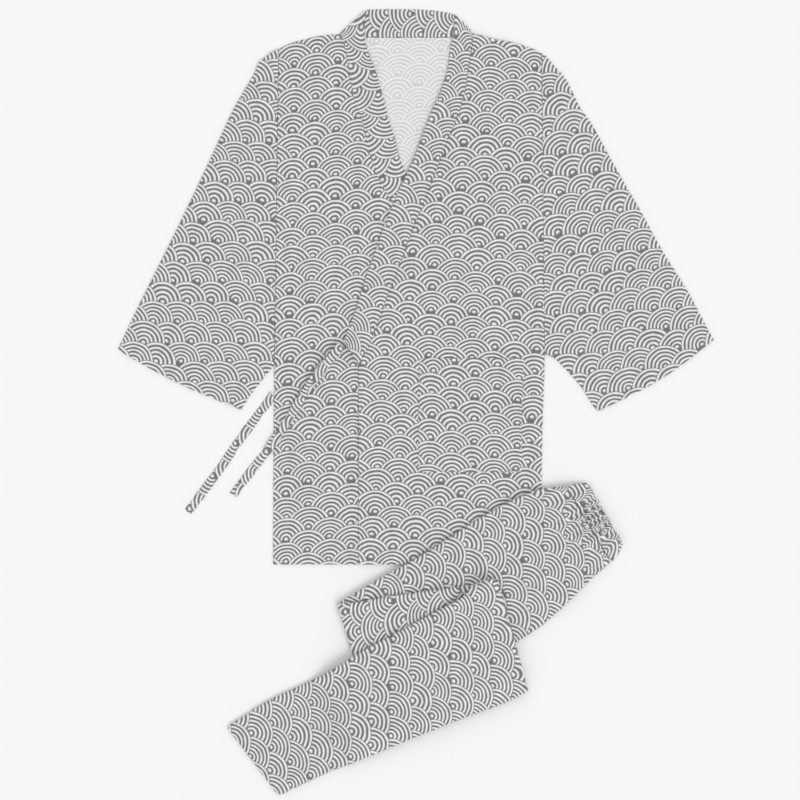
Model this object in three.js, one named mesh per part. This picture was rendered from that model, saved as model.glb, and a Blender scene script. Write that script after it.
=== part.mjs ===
// A jinbei set laid out flat: a wrap jacket with wide open sleeves, and its trousers
// folded in three across the jacket's hem. Millimetres, +Z up, +Y towards the collar.
// Every table is in the jacket's frame, with its origin on the surface below the middle of the hem.
// The wearer's left is at +X. The finished group is centred on its own box at the end.
import * as THREE from 'three';

// Cloth and layers
const CLOTH = 1.2;
const SEAM = 0.3;
const BAND_THICK = 1.8;
const TIE_THICK = 1.6;
const TIE_WIDTH = 12.5;
const SLEEVE_HEIGHT = 3.0;

// Heights of the stacked panels
const FRONT_LEVEL = CLOTH + SEAM;
const LAP_LIFT = BAND_THICK + SEAM;
const OVER_LEVEL = FRONT_LEVEL + LAP_LIFT;
const JACKET_TOP = OVER_LEVEL + CLOTH;
const BAND_FLAT = BAND_THICK / 2;
const BAND_CORNER = BAND_FLAT + BAND_THICK + SEAM;
const UNDER_BAND = FRONT_LEVEL + BAND_THICK / 2;
const OVER_BAND = OVER_LEVEL + BAND_THICK / 2;

// Trousers: one stack of plies, folded up at the knee and back again
const PLY_GAP = 0.6;
const STACK = 4 * CLOTH + 2 * PLY_GAP;
const FOLD_GAP = 0.6;
const FOLD_PITCH = STACK + FOLD_GAP;
const FOLD_ARC = Math.PI * FOLD_PITCH / 2;
const FOLD_STEPS = 4;
const WAISTBAND = 28;
const DRAPE_RUN = 44;
const DRAPE_HOLD = 26;
const HEM_HOLD = 34;

// Edges of the body, from the hem up the side, the armhole and the shoulder
const RIGHT_SIDE = [
  { y: 0, x: -191.5 },
  { y: 279, x: -190 },
  { y: 722, x: -184 },
  { y: 730, x: -167 },
  { y: 736, x: -145 },
  { y: 740, x: -127 },
  { y: 743, x: -104 },
];
const LEFT_SIDE = [
  { y: 0, x: 184 },
  { y: 113, x: 184.4 },
  { y: 213, x: 186.2 },
  { y: 292, x: 188.5 },
  { y: 716, x: 184.4 },
  { y: 722, x: 173 },
  { y: 729, x: 151 },
  { y: 736, x: 117 },
  { y: 743, x: 90 },
];
const BACK_ROWS = [0, 113, 213, 279, 292, 500, 716, 722, 730, 738.2];
const BACK_FRACTIONS = [0, 0.25, 0.5, 0.75, 1];

// The collar band: seam with the front, free edge, and height of the strip's middle.
// Each list starts at the band's lower end and climbs to the neck.
const UNDER_EDGE_X = 71;
const UNDER_BAND_ROWS = [
  { seamX: 68, seamY: 283, freeX: 88, freeY: 310, level: UNDER_BAND },
  { seamX: 50, seamY: 318, freeX: 83, freeY: 334, level: UNDER_BAND },
  { seamX: 28, seamY: 370, freeX: 63, freeY: 384, level: UNDER_BAND },
  { seamX: 8, seamY: 420, freeX: 43, freeY: 434, level: UNDER_BAND },
  { seamX: -12, seamY: 470, freeX: 23, freeY: 485, level: UNDER_BAND },
  { seamX: -31, seamY: 517, freeX: 0, freeY: 535, level: UNDER_BAND },
  { seamX: -48, seamY: 548, freeX: -14, freeY: 568, level: UNDER_BAND },
  { seamX: -60, seamY: 589, freeX: -22, freeY: 600, level: UNDER_BAND },
  { seamX: -67, seamY: 619, freeX: -31, freeY: 628, level: UNDER_BAND },
  { seamX: -77, seamY: 645, freeX: -39, freeY: 660, level: UNDER_BAND },
  { seamX: -85, seamY: 690, freeX: -49, freeY: 693, level: UNDER_BAND },
  { seamX: -90, seamY: 716, freeX: -57, freeY: 714, level: BAND_CORNER },
  { seamX: -93, seamY: 731, freeX: -63, freeY: 735, level: BAND_CORNER },
  { seamX: -96, seamY: 738, freeX: -63.5, freeY: 755, level: BAND_CORNER },
];
const OVER_BAND_ROWS = [
  { seamX: -72, seamY: 281, freeX: -92, freeY: 313, level: OVER_BAND },
  { seamX: -58, seamY: 305, freeX: -86, freeY: 331, level: OVER_BAND },
  { seamX: -44, seamY: 342, freeX: -76, freeY: 357, level: OVER_BAND },
  { seamX: -28, seamY: 386, freeX: -62.5, freeY: 400, level: OVER_BAND },
  { seamX: -13, seamY: 424, freeX: -49, freeY: 438, level: OVER_BAND },
  { seamX: 3, seamY: 468, freeX: -33, freeY: 482, level: OVER_BAND },
  { seamX: 22, seamY: 514, freeX: -13.5, freeY: 528, level: OVER_BAND },
  { seamX: 38, seamY: 556, freeX: 5, freeY: 568, level: OVER_BAND },
  { seamX: 54, seamY: 598, freeX: 20, freeY: 608, level: OVER_BAND },
  { seamX: 67, seamY: 630, freeX: 33, freeY: 640, level: OVER_BAND },
  { seamX: 75, seamY: 655, freeX: 43, freeY: 663, level: OVER_BAND },
  { seamX: 81, seamY: 690, freeX: 53, freeY: 696, level: BAND_CORNER },
  { seamX: 86, seamY: 720, freeX: 57, freeY: 728, level: BAND_CORNER },
  { seamX: 88, seamY: 736, freeX: 61, freeY: 740, level: BAND_CORNER },
];
// The strip turns over along these two lines, where the band passes from the fronts to the back neck
const NECK_TURNS = {
  right: { seamX: -97, seamY: 742, freeX: -62.4, freeY: 774, outX: -0.68, outY: 0.73 },
  left: { seamX: 88.5, seamY: 742.5, freeX: 62.2, freeY: 769.5, outX: 0.71, outY: 0.7 },
};
const NECK_ROWS = [
  { seamX: -80, seamY: 740, freeX: -62, freeY: 775.5 },
  { seamX: -62, seamY: 738.5, freeX: -56, freeY: 777 },
  { seamX: -40, seamY: 738.5, freeX: -40, freeY: 777.5 },
  { seamX: 0, seamY: 738.5, freeX: 0, freeY: 777.5 },
  { seamX: 34, seamY: 738.5, freeX: 34, freeY: 775.5 },
  { seamX: 58, seamY: 738.5, freeX: 56, freeY: 772 },
  { seamX: 74, seamY: 740, freeX: 61.5, freeY: 770 },
];
const TURN_STEPS = 4;

// Fractions across the over front; its lap steps down between the two of LAP_RAMP
const OVER_FRACTIONS = [0, 0.16, 0.323, 0.48, 0.64, 0.756, 0.886, 1];
const LAP_RAMP = { from: 0.64, to: 0.756 };
const UNDER_FRACTIONS = [0, 0.2, 0.4, 0.6, 0.8, 1];
const UNDER_ROWS = {
  straight: [0, 140, 279],
  shoulder: [
    { y: 739, right: -100 },
    { y: 742.5, right: -101 },
  ],
};
// The left front has rows of its own besides the pocket's and the band's, so that they share points
const OVER_ROWS = {
  straight: [0, 70],
  between: [289, 728],
  shoulder: [
    { y: 737, left: 91 },
    { y: 741, left: 92, right: 97 },
  ],
};
const POCKET = { firstColumn: 2, lastColumn: 6, rows: [129.5, 165, 213, 245, 281, 289] };

// Sleeves: upper fold and underarm seam at each station, from the armhole to the cuff.
// bow is how far the section's middle runs ahead, ridge the height of the pucker at the shoulder.
const RIGHT_SLEEVE = [
  { topX: -184.3, topY: 722, underX: -190.3, underY: 279, bow: 0, ridge: 0 },
  { topX: -194, topY: 716, underX: -192, underY: 277, bow: 0, ridge: 1.2 },
  { topX: -203, topY: 710, underX: -193.5, underY: 275.5, bow: 0, ridge: 0 },
  { topX: -210, topY: 704, underX: -195, underY: 274, bow: 0, ridge: 0.9 },
  { topX: -218.4, topY: 686.7, underX: -197, underY: 271, bow: 0, ridge: 0 },
  { topX: -232, topY: 663, underX: -200, underY: 267.5, bow: 0, ridge: 0 },
  { topX: -246.4, topY: 637.7, underX: -203.5, underY: 263.5, bow: 0, ridge: 0 },
  { topX: -272, topY: 583, underX: -209, underY: 256.5, bow: 1, ridge: 0 },
  { topX: -299.6, topY: 524.3, underX: -214.5, underY: 249.5, bow: 2, ridge: 0 },
  { topX: -327, topY: 467.5, underX: -219.5, underY: 243, bow: 3, ridge: 0 },
  { topX: -355, topY: 411, underX: -224.5, underY: 236.5, bow: 4, ridge: 0 },
  { topX: -383.6, topY: 353.5, underX: -229.5, underY: 229, bow: 5, ridge: 0 },
  { topX: -408.8, topY: 300.3, underX: -237, underY: 217, bow: 5, ridge: 0 },
];
const LEFT_SLEEVE = [
  { topX: 184.7, topY: 716, underX: 188.8, underY: 292, bow: 0, ridge: 0 },
  { topX: 192, topY: 709, underX: 193, underY: 292, bow: 0, ridge: 1 },
  { topX: 202, topY: 698, underX: 198, underY: 290.5, bow: 0, ridge: 0 },
  { topX: 210, topY: 689, underX: 201, underY: 289.3, bow: 0, ridge: 1.3 },
  { topX: 217, topY: 681, underX: 203.5, underY: 288, bow: 0, ridge: 0 },
  { topX: 236, topY: 643.3, underX: 209, underY: 283, bow: 0, ridge: 0 },
  { topX: 254.8, topY: 615.3, underX: 214.5, underY: 277.5, bow: 0, ridge: 0 },
  { topX: 285.6, topY: 559.3, underX: 222, underY: 270, bow: 1, ridge: 0 },
  { topX: 317.8, topY: 503.3, underX: 230, underY: 261, bow: 3, ridge: 0 },
  { topX: 354.2, topY: 437.5, underX: 238, underY: 251.5, bow: 5, ridge: 0 },
  { topX: 389.2, topY: 381.5, underX: 247, underY: 238, bow: 7, ridge: 0 },
  { topX: 407, topY: 348, underX: 254.5, underY: 226, bow: 8, ridge: 0 },
  { topX: 425, topY: 314.3, underX: 263, underY: 215, bow: 8, ridge: 0 },
];
const RIDGE_REACH = 0.3;
const SLEEVE_FRACTIONS = [0.012, 0.06, 0.15, 0.3, 0.45, 0.6, 0.75, 0.9, 0.985];

// Ties: middle line, height of the underside and the direction of each cross cut in degrees
const TIE_LEVEL = FRONT_LEVEL + CLOTH + SEAM;
const FRONT_TIE = [
  { x: -96, y: 306, z: TIE_LEVEL, cut: -35 },
  { x: -117, y: 281, z: TIE_LEVEL, cut: -37 },
  { x: -137.8, y: 254, z: TIE_LEVEL, cut: -35 },
  { x: -155, y: 228, z: TIE_LEVEL, cut: -33 },
  { x: -170, y: 202.5, z: TIE_LEVEL, cut: -33 },
  { x: -199, y: 161, z: TIE_LEVEL, cut: -36 },
  { x: -209, y: 148, z: 0, cut: -37 },
  { x: -229, y: 122, z: 0, cut: -38 },
  { x: -247.8, y: 97.3, z: 0, cut: -36 },
];
const SIDE_TIE = [
  { x: -191.8, y: 238, z: 0, cut: -90 },
  { x: -213, y: 209, z: 0, cut: -38 },
  { x: -240, y: 172, z: 0, cut: -36 },
  { x: -266, y: 134, z: 0, cut: -35 },
  { x: -289, y: 103, z: 0, cut: -37 },
  { x: -310.8, y: 73.5, z: 0, cut: -36 },
];

// Trousers laid out as one long strip: along from the waist to the cuff, and its two edges
const STRIP_EDGES = [
  { along: 0, low: -50, high: 50 },
  { along: 17, low: -57, high: 60 },
  { along: 36, low: -65, high: 65 },
  { along: 60, low: -75.5, high: 69.5 },
  { along: 83, low: -80, high: 75 },
  { along: 124, low: -84, high: 85.3 },
  { along: 165, low: -83.5, high: 92 },
  { along: 194, low: -82.5, high: 93.2 },
  { along: 265, low: -80.5, high: 92 },
  { along: 320, low: -82.5, high: 88 },
  { along: 400, low: -82, high: 80 },
  { along: 455, low: -87, high: 75 },
  { along: 532, low: -93, high: 69 },
  { along: 600, low: -97, high: 62 },
  { along: 626, low: -108, high: 59.5 },
  { along: 645, low: -109, high: 59.5 },
  { along: 669, low: -101.5, high: 60.5 },
  { along: 700, low: -99.6, high: 58 },
  { along: 756, low: -97.6, high: 52 },
  { along: 811, low: -96, high: 47.5 },
  { along: 907, low: -89.5, high: 41 },
  { along: 970, low: -91, high: 36.5 },
  { along: 1030, low: -85, high: 36 },
];
// Where the cross cuts lie along the strip, and how much each one leans
const STRIP_CUTS = [
  { along: WAISTBAND + SEAM, lean: 0 },
  { along: 45, lean: 0 },
  { along: 62, lean: 0 },
  { along: 90, lean: 0.03 },
  { along: 122, lean: 0.05 },
  { along: 160, lean: 0.08 },
  { along: 200, lean: 0.11 },
  { along: 240, lean: 0.14 },
  { along: 280, lean: 0.17 },
  { along: 320, lean: 0.2 },
  { along: 362, lean: 0.22 },
];
const KNEE_CUTS = [
  { along: 432, lean: 0.23 },
  { along: 466, lean: 0.225 },
  { along: 500, lean: 0.215 },
  { along: 540, lean: 0.21 },
  { along: 580, lean: 0.2 },
  { along: 606, lean: 0.199 },
];
const SHIN = { from: 656, to: 1024, pieces: 21, leanFrom: 0.17, leanTo: -0.187 };
const WAIST = { x: 273, y: 71.5, heading: 210.5 };
// Outer edge of each fold, at its middle, and the direction in which it runs
const FOLD_EDGES = [
  { x: -91, y: -92, heading: 107.25 },
  { x: 148, y: -110.6, heading: 105.25 },
];
const STRIP_FRACTIONS = [0.12, 0.3, 0.5, 0.7, 0.88];
const GATHERS = 7;

const PRINT = { color: 0xb9bcc0, roughness: 0.9, metalness: 0 };

function lookUp(rows, key, at, column) {
  const last = rows.length - 1;
  if (at <= rows[0][key]) return rows[0][column];
  if (at >= rows[last][key]) return rows[last][column];
  const next = rows.findIndex((row) => row[key] >= at);
  const a = rows[next - 1];
  const b = rows[next];
  return THREE.MathUtils.lerp(a[column], b[column], (at - a[key]) / (b[key] - a[key]));
}

// 1 up to the given distance, then a smooth fall to 0 over the run
function fall(distance, hold, run) {
  return 1 - THREE.MathUtils.smoothstep(distance, hold, hold + run);
}

function signedVolume(points, faces) {
  const a = new THREE.Vector3();
  const total = faces.reduce((sum, [i, j, k]) => {
    a.crossVectors(points[j], points[k]);
    return sum + points[i].dot(a);
  }, 0);
  return total / 6;
}

// Two triangles for a patch, split along its shorter diagonal so that stacked layers match
function patch(points, faces, a, b, c, d) {
  const direct = points[a].distanceTo(points[c]) <= points[b].distanceTo(points[d]);
  if (direct) faces.push([a, b, c], [a, c, d]);
  else faces.push([a, b, d], [b, c, d]);
}

function meshFrom(name, points, faces) {
  const outward = signedVolume(points, faces) > 0;
  const order = outward ? faces : faces.map(([i, j, k]) => [i, k, j]);
  const geometry = new THREE.BufferGeometry();
  const positions = points.flatMap((p) => [p.x, p.y, p.z]);
  geometry.setAttribute('position', new THREE.Float32BufferAttribute(positions, 3));
  geometry.setIndex(order.flat());
  geometry.computeVertexNormals();
  const mesh = new THREE.Mesh(geometry, new THREE.MeshStandardMaterial(PRINT));
  mesh.name = name;
  return mesh;
}

// A closed wall between two grids of points: rows run along the piece, columns across it
function wall(name, lower, upper) {
  const rows = lower.length;
  const columns = lower[0].length;
  const points = [...lower.flat(), ...upper.flat()];
  const low = (i, j) => i * columns + j;
  const high = (i, j) => (rows + i) * columns + j;
  const faces = [];
  const quad = (a, b, c, d) => patch(points, faces, a, b, c, d);
  for (let i = 0; i + 1 < rows; i += 1) {
    for (let j = 0; j + 1 < columns; j += 1) {
      quad(high(i, j), high(i + 1, j), high(i + 1, j + 1), high(i, j + 1));
      quad(low(i, j), low(i, j + 1), low(i + 1, j + 1), low(i + 1, j));
    }
    quad(low(i, 0), low(i + 1, 0), high(i + 1, 0), high(i, 0));
    quad(low(i + 1, columns - 1), low(i, columns - 1), high(i, columns - 1), high(i + 1, columns - 1));
  }
  for (let j = 0; j + 1 < columns; j += 1) {
    quad(low(0, j + 1), low(0, j), high(0, j), high(0, j + 1));
    quad(low(rows - 1, j), low(rows - 1, j + 1), high(rows - 1, j + 1), high(rows - 1, j));
  }
  return meshFrom(name, points, faces);
}

// An open tube: rings of the outside and of the inside, closed round, joined at both mouths
function tube(name, outer, inner) {
  const rings = outer.length;
  const around = outer[0].length;
  const points = [...outer.flat(), ...inner.flat()];
  const out = (i, j) => i * around + (j % around);
  const back = (i, j) => (rings + i) * around + (j % around);
  const faces = [];
  const quad = (a, b, c, d) => patch(points, faces, a, b, c, d);
  for (let j = 0; j < around; j += 1) {
    for (let i = 0; i + 1 < rings; i += 1) {
      quad(out(i, j), out(i + 1, j), out(i + 1, j + 1), out(i, j + 1));
      quad(back(i, j), back(i, j + 1), back(i + 1, j + 1), back(i + 1, j));
    }
    quad(out(0, j), out(0, j + 1), back(0, j + 1), back(0, j));
    quad(out(rings - 1, j + 1), out(rings - 1, j), back(rings - 1, j), back(rings - 1, j + 1));
  }
  return meshFrom(name, points, faces);
}

function raised(grid, height) {
  return grid.map((row) => row.map((p) => new THREE.Vector3(p.x, p.y, p.z + height)));
}

// Body panels: a row of points at each height up the garment, between its two edges
function panelGrid(rows, fractions, levelAt) {
  return rows.map(({ y, left, right }) => fractions.map((f) => (
    new THREE.Vector3(THREE.MathUtils.lerp(left, right, f), y, levelAt(f))
  )));
}

function sideX(table, y) {
  return lookUp(table, 'y', y, 'x');
}

function backPanel() {
  const rows = BACK_ROWS.map((y) => ({ y, left: sideX(RIGHT_SIDE, y), right: sideX(LEFT_SIDE, y) }));
  const grid = panelGrid(rows, BACK_FRACTIONS, () => 0);
  return wall('jacket_back', grid, raised(grid, CLOTH));
}

function underFront() {
  const straight = UNDER_ROWS.straight.map((y) => ({ y, right: UNDER_EDGE_X }));
  const lapel = UNDER_BAND_ROWS.slice(0, -1).map((row) => ({ y: row.seamY, right: row.seamX - SEAM }));
  const rows = [...straight, ...lapel, ...UNDER_ROWS.shoulder];
  const edged = rows.map((row) => ({ ...row, left: sideX(RIGHT_SIDE, row.y) }));
  const grid = panelGrid(edged, UNDER_FRACTIONS, () => FRONT_LEVEL);
  return wall('jacket_right_front', grid, raised(grid, CLOTH));
}

function overLevel(f) {
  const drop = THREE.MathUtils.clamp((f - LAP_RAMP.from) / (LAP_RAMP.to - LAP_RAMP.from), 0, 1);
  return OVER_LEVEL - drop * LAP_LIFT;
}

function overRow(y) {
  const edges = OVER_BAND_ROWS.map((row) => ({ y: row.seamY, x: row.seamX + SEAM }));
  return { y, left: sideX(edges, y), right: sideX(LEFT_SIDE, y) };
}

function overFront() {
  const lapel = OVER_BAND_ROWS.slice(0, -1).map((row) => row.seamY);
  const pocket = POCKET.rows.filter((y) => y < OVER_BAND_ROWS[0].seamY);
  const heights = [...OVER_ROWS.straight, ...pocket, ...lapel, ...OVER_ROWS.between];
  const rows = heights.sort((a, b) => a - b).map(overRow);
  const shoulder = OVER_ROWS.shoulder.map((row) => ({ right: sideX(LEFT_SIDE, row.y), ...row }));
  const grid = panelGrid([...rows, ...shoulder], OVER_FRACTIONS, overLevel);
  return wall('jacket_left_front', grid, raised(grid, CLOTH));
}

// The pocket is made from the points of the front that it is sewn on, moved out
function pocket() {
  const fractions = OVER_FRACTIONS.slice(POCKET.firstColumn, POCKET.lastColumn + 1);
  const grid = panelGrid(POCKET.rows.map(overRow), fractions, (f) => overLevel(f) + CLOTH + SEAM);
  return wall('jacket_pocket', grid, raised(grid, CLOTH));
}

function sleeveSection(row, inset, floor, roof) {
  const top = new THREE.Vector2(row.topX, row.topY);
  const under = new THREE.Vector2(row.underX, row.underY);
  const across = under.clone().sub(top);
  const ahead = new THREE.Vector2(across.y, -across.x).normalize().multiplyScalar(row.bow);
  if (ahead.x * row.topX < 0) ahead.negate();
  const trim = inset / across.length();
  const pointAt = (f, z) => {
    const spread = THREE.MathUtils.lerp(trim, 1 - trim, f);
    const bulge = Math.sin(Math.PI * spread);
    const p = top.clone().lerp(under, spread).addScaledVector(ahead, bulge);
    return new THREE.Vector3(p.x, p.y, z);
  };
  const lift = (f) => row.ridge * fall(f, 0.02, RIDGE_REACH);
  const middle = (floor + roof) / 2;
  const above = SLEEVE_FRACTIONS.map((f) => pointAt(f, roof + lift(f)));
  const below = [...SLEEVE_FRACTIONS].reverse().map((f) => pointAt(f, floor));
  return [pointAt(0, middle), ...above, pointAt(1, middle), ...below];
}

function sleeve(name, table) {
  const outer = table.map((row) => sleeveSection(row, 0, 0, SLEEVE_HEIGHT));
  const inner = table.map((row) => sleeveSection(row, CLOTH, CLOTH, SLEEVE_HEIGHT - CLOTH));
  return tube(name, outer, inner);
}

// Collar band: one double strip from the under lapel round the neck to the over lapel.
// facing is the direction of its outer face, up on the fronts and down behind the neck.
function bandStation(row, level, facing) {
  const ends = [new THREE.Vector3(row.seamX, row.seamY, level), new THREE.Vector3(row.freeX, row.freeY, level)];
  const middle = ends[0].clone().lerp(ends[1], 0.5);
  const line = [ends[0], middle, ends[1]];
  const half = facing.clone().multiplyScalar(BAND_THICK / 2);
  return { lower: line.map((p) => p.clone().sub(half)), upper: line.map((p) => p.clone().add(half)) };
}

function turnStations(turn) {
  const radius = (BAND_CORNER - BAND_FLAT) / 2;
  const outward = new THREE.Vector3(turn.outX, turn.outY, 0).normalize();
  return Array.from({ length: TURN_STEPS + 1 }, (_, k) => {
    const angle = Math.PI * k / TURN_STEPS;
    const shift = outward.clone().multiplyScalar(radius * Math.sin(angle));
    const facing = outward.clone().multiplyScalar(Math.sin(angle));
    facing.z = Math.cos(angle);
    const row = {
      seamX: turn.seamX + shift.x,
      seamY: turn.seamY + shift.y,
      freeX: turn.freeX + shift.x,
      freeY: turn.freeY + shift.y,
    };
    return bandStation(row, BAND_CORNER - radius * (1 - Math.cos(angle)), facing);
  });
}

function collarBand() {
  const up = new THREE.Vector3(0, 0, 1);
  const down = new THREE.Vector3(0, 0, -1);
  const stations = [
    ...UNDER_BAND_ROWS.map((row) => bandStation(row, row.level, up)),
    ...turnStations(NECK_TURNS.right),
    ...NECK_ROWS.map((row) => bandStation(row, BAND_FLAT, down)),
    ...turnStations(NECK_TURNS.left).reverse(),
    ...[...OVER_BAND_ROWS].reverse().map((row) => bandStation(row, row.level, up)),
  ];
  return wall('jacket_collar_band', stations.map((s) => s.lower), stations.map((s) => s.upper));
}

function tie(name, table) {
  const grid = table.map(({ x, y, z, cut }) => {
    const angle = THREE.MathUtils.degToRad(cut);
    const half = new THREE.Vector3(Math.cos(angle), Math.sin(angle), 0).multiplyScalar(TIE_WIDTH / 2);
    const middle = new THREE.Vector3(x, y, z);
    return [middle.clone().sub(half), middle.clone().add(half)];
  });
  return wall(name, grid, raised(grid, TIE_THICK));
}

// Trousers. A line has a point, and the direction ahead of it in which the strip passes.
function heading(degrees) {
  const angle = THREE.MathUtils.degToRad(degrees);
  return new THREE.Vector2(Math.cos(angle), Math.sin(angle));
}

const ALONG = heading(WAIST.heading);
const ACROSS = new THREE.Vector2(-ALONG.y, ALONG.x);
const WAIST_POINT = new THREE.Vector2(WAIST.x, WAIST.y);

function foldLine(edge, travel) {
  const run = heading(edge.heading);
  const ahead = new THREE.Vector2(-run.y, run.x);
  if (ahead.dot(travel) < 0) ahead.negate();
  const inset = STACK + FOLD_GAP / 2;
  return { point: new THREE.Vector2(edge.x, edge.y).addScaledVector(ahead, -inset), ahead };
}

function past(line, p) {
  return p.clone().sub(line.point).dot(line.ahead);
}

// Laying the strip back over a fold is its own inverse, so this also unfolds
function turnOver(line, p) {
  return p.clone().addScaledVector(line.ahead, FOLD_ARC - 2 * past(line, p));
}

const SECOND_TRAVEL = heading(2 * FOLD_EDGES[0].heading - WAIST.heading);
const FIRST_FOLD = foldLine(FOLD_EDGES[0], ALONG);
const SECOND_FOLD = foldLine(FOLD_EDGES[1], SECOND_TRAVEL);
const FLAT_SECOND_FOLD = unfoldedLine(SECOND_FOLD);

function unfoldedLine(line) {
  const point = turnOver(FIRST_FOLD, line.point);
  const tip = turnOver(FIRST_FOLD, line.point.clone().add(line.ahead));
  return { point, ahead: tip.sub(point) };
}

function flatPoint(along, across) {
  return WAIST_POINT.clone().addScaledVector(ALONG, along).addScaledVector(ACROSS, across);
}

function stripEdge(along, column) {
  return lookUp(STRIP_EDGES, 'along', along, column);
}

// How far a point lies outside the stretch of strip between two lines, or inside if negative
function outside(p, from, to) {
  const local = p.clone().sub(WAIST_POINT);
  const along = local.dot(ALONG);
  const across = local.dot(ACROSS);
  const sides = Math.max(across - stripEdge(along, 'high'), stripEdge(along, 'low') - across);
  return Math.max(sides, from ? -past(from, p) : -along, past(to, p));
}

// What a point of cloth lies on: the jacket, the first run and the second run, each from 0 to 1
function restsOn(p) {
  const hem = Math.max(p.x - sideX(LEFT_SIDE, 0), -p.y, sideX(RIGHT_SIDE, 0) - p.x);
  return {
    jacket: fall(hem, HEM_HOLD, DRAPE_RUN),
    first: fall(outside(p, null, FIRST_FOLD), DRAPE_HOLD, DRAPE_RUN),
    second: fall(outside(turnOver(FIRST_FOLD, p), FIRST_FOLD, FLAT_SECOND_FOLD), DRAPE_HOLD, DRAPE_RUN),
  };
}

// Bends a point about a fold. way is 1 to fold upwards and -1 to fold downwards.
function bend(line, cloth, height, distance, way) {
  const turn = Math.min(distance / FOLD_ARC, 1);
  const axis = way > 0 ? STACK + FOLD_GAP / 2 : -FOLD_GAP / 2;
  const radius = axis - height;
  if (turn === 1) return { cloth: turnOver(line, cloth), height: axis + radius, turn };
  const angle = Math.PI * turn;
  const foot = cloth.clone().addScaledVector(line.ahead, -past(line, cloth));
  const reach = Math.abs(radius) * Math.sin(angle);
  return { cloth: foot.addScaledVector(line.ahead, reach), height: axis - radius * Math.cos(angle), turn };
}

// Where a point of the strip ends up once the trousers are folded and lie on the jacket's hem
function folded(along, across, depth) {
  const flat = flatPoint(along, across);
  let state = { cloth: flat, height: depth, turn: 0 };
  const beyondSecond = past(FLAT_SECOND_FOLD, flat);
  if (beyondSecond > 0) state = bend(FLAT_SECOND_FOLD, state.cloth, state.height, beyondSecond, -1);
  const secondTurn = state.turn;
  const beyondFirst = past(FIRST_FOLD, flat);
  state.turn = 0;
  if (beyondFirst > 0) state = bend(FIRST_FOLD, state.cloth, state.height, beyondFirst, 1);
  const rest = restsOn(state.cloth);
  const dropFirst = FOLD_PITCH * (1 - rest.first) * state.turn;
  const dropSecond = FOLD_PITCH * (1 - rest.second) * secondTurn;
  const ground = (JACKET_TOP + SEAM) * rest.jacket;
  return new THREE.Vector3(state.cloth.x, state.cloth.y, state.height + ground - dropFirst - dropSecond);
}

// The fold's own cuts lie along its line and run just past it
function foldCuts(line) {
  const along = flatAlong(line, 0);
  const lean = (flatAlong(line, 1) - along);
  const step = FOLD_ARC / (FOLD_STEPS * line.ahead.dot(ALONG));
  return Array.from({ length: FOLD_STEPS + 1 }, (_, k) => ({ along: along + k * step, lean }));
}

function flatAlong(line, across) {
  return -past(line, flatPoint(0, across)) / line.ahead.dot(ALONG);
}

function stripCuts() {
  const shin = Array.from({ length: SHIN.pieces + 1 }, (_, k) => ({
    along: THREE.MathUtils.lerp(SHIN.from, SHIN.to, k / SHIN.pieces),
    lean: THREE.MathUtils.lerp(SHIN.leanFrom, SHIN.leanTo, k / SHIN.pieces),
  }));
  return [...STRIP_CUTS, ...foldCuts(FIRST_FOLD), ...KNEE_CUTS, ...foldCuts(FLAT_SECOND_FOLD), ...shin];
}

// A point on one cut, at a fraction from its low edge to its high edge
function columnPoint(cut, fraction, depth) {
  const low = stripEdge(cut.along + cut.lean * stripEdge(cut.along, 'low'), 'low');
  const high = stripEdge(cut.along + cut.lean * stripEdge(cut.along, 'high'), 'high');
  const across = THREE.MathUtils.lerp(low, high, fraction);
  return folded(cut.along + cut.lean * across, across, depth);
}

// The same, moved in from an edge along the line to the next column, so that plies stay parallel
function cutPoint(cut, fraction, inset, depth) {
  const point = columnPoint(cut, fraction, depth);
  if (inset === 0) return point;
  const next = columnPoint(cut, fraction === 0 ? STRIP_FRACTIONS[0] : STRIP_FRACTIONS.at(-1), depth);
  return point.lerp(next, inset / Math.hypot(next.x - point.x, next.y - point.y));
}

// The outer leg is wrapped round the hidden layers: over the top, round the low edge, underneath
function outerLeg() {
  const side = [
    { inset: 1.2, level: 0.93 },
    { inset: 0, level: 0.72 },
    { inset: 0, level: 0.28 },
    { inset: 1.2, level: 0.07 },
  ];
  const skin = (inset) => stripCuts().map((cut) => {
    const depthAt = (level) => THREE.MathUtils.lerp(inset, STACK - inset, level);
    const flat = (level) => [...STRIP_FRACTIONS, 1].map((f) => cutPoint(cut, f, 0, depthAt(level)));
    const round = side.map((row) => cutPoint(cut, 0, inset + row.inset, depthAt(row.level)));
    return [...flat(1).reverse(), ...round, ...flat(0)];
  });
  return wall('trouser_left_leg', skin(0), skin(CLOTH));
}

// The other leg, folded inside: its layers are one solid, with a stepped open edge
function innerLeg() {
  const layer = (depth, step) => stripCuts().map((cut) => [
    cutPoint(cut, 0, CLOTH + 2, depth),
    ...STRIP_FRACTIONS.map((f) => cutPoint(cut, f, 0, depth)),
    cutPoint(cut, 1, step, depth),
  ]);
  return wall('trouser_right_leg', layer(CLOTH + PLY_GAP, 3.5), layer(STACK - CLOTH - PLY_GAP, 1.5));
}

// Elastic waistband, drawn up into gathers and round at its end
function waistband() {
  const profile = [
    { along: 0, thick: 0.35 },
    { along: 3, thick: 0.75 },
    { along: 9, thick: 1 },
    { along: 16, thick: 0.92 },
    { along: 23, thick: 1 },
    { along: WAISTBAND, thick: 0.96 },
  ];
  const count = 2 * GATHERS;
  const skin = (side) => profile.map(({ along, thick }) => (
    Array.from({ length: count + 1 }, (_, k) => {
      const gather = k % 2 === 0 ? 0.9 : 1;
      const half = STACK / 2 * thick * (side > 0 ? gather : 1);
      const cut = { along, lean: 0 };
      return cutPoint(cut, k / count, 0, STACK / 2 + side * half);
    })
  ));
  return wall('trouser_waistband', skin(-1), skin(1));
}

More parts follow.
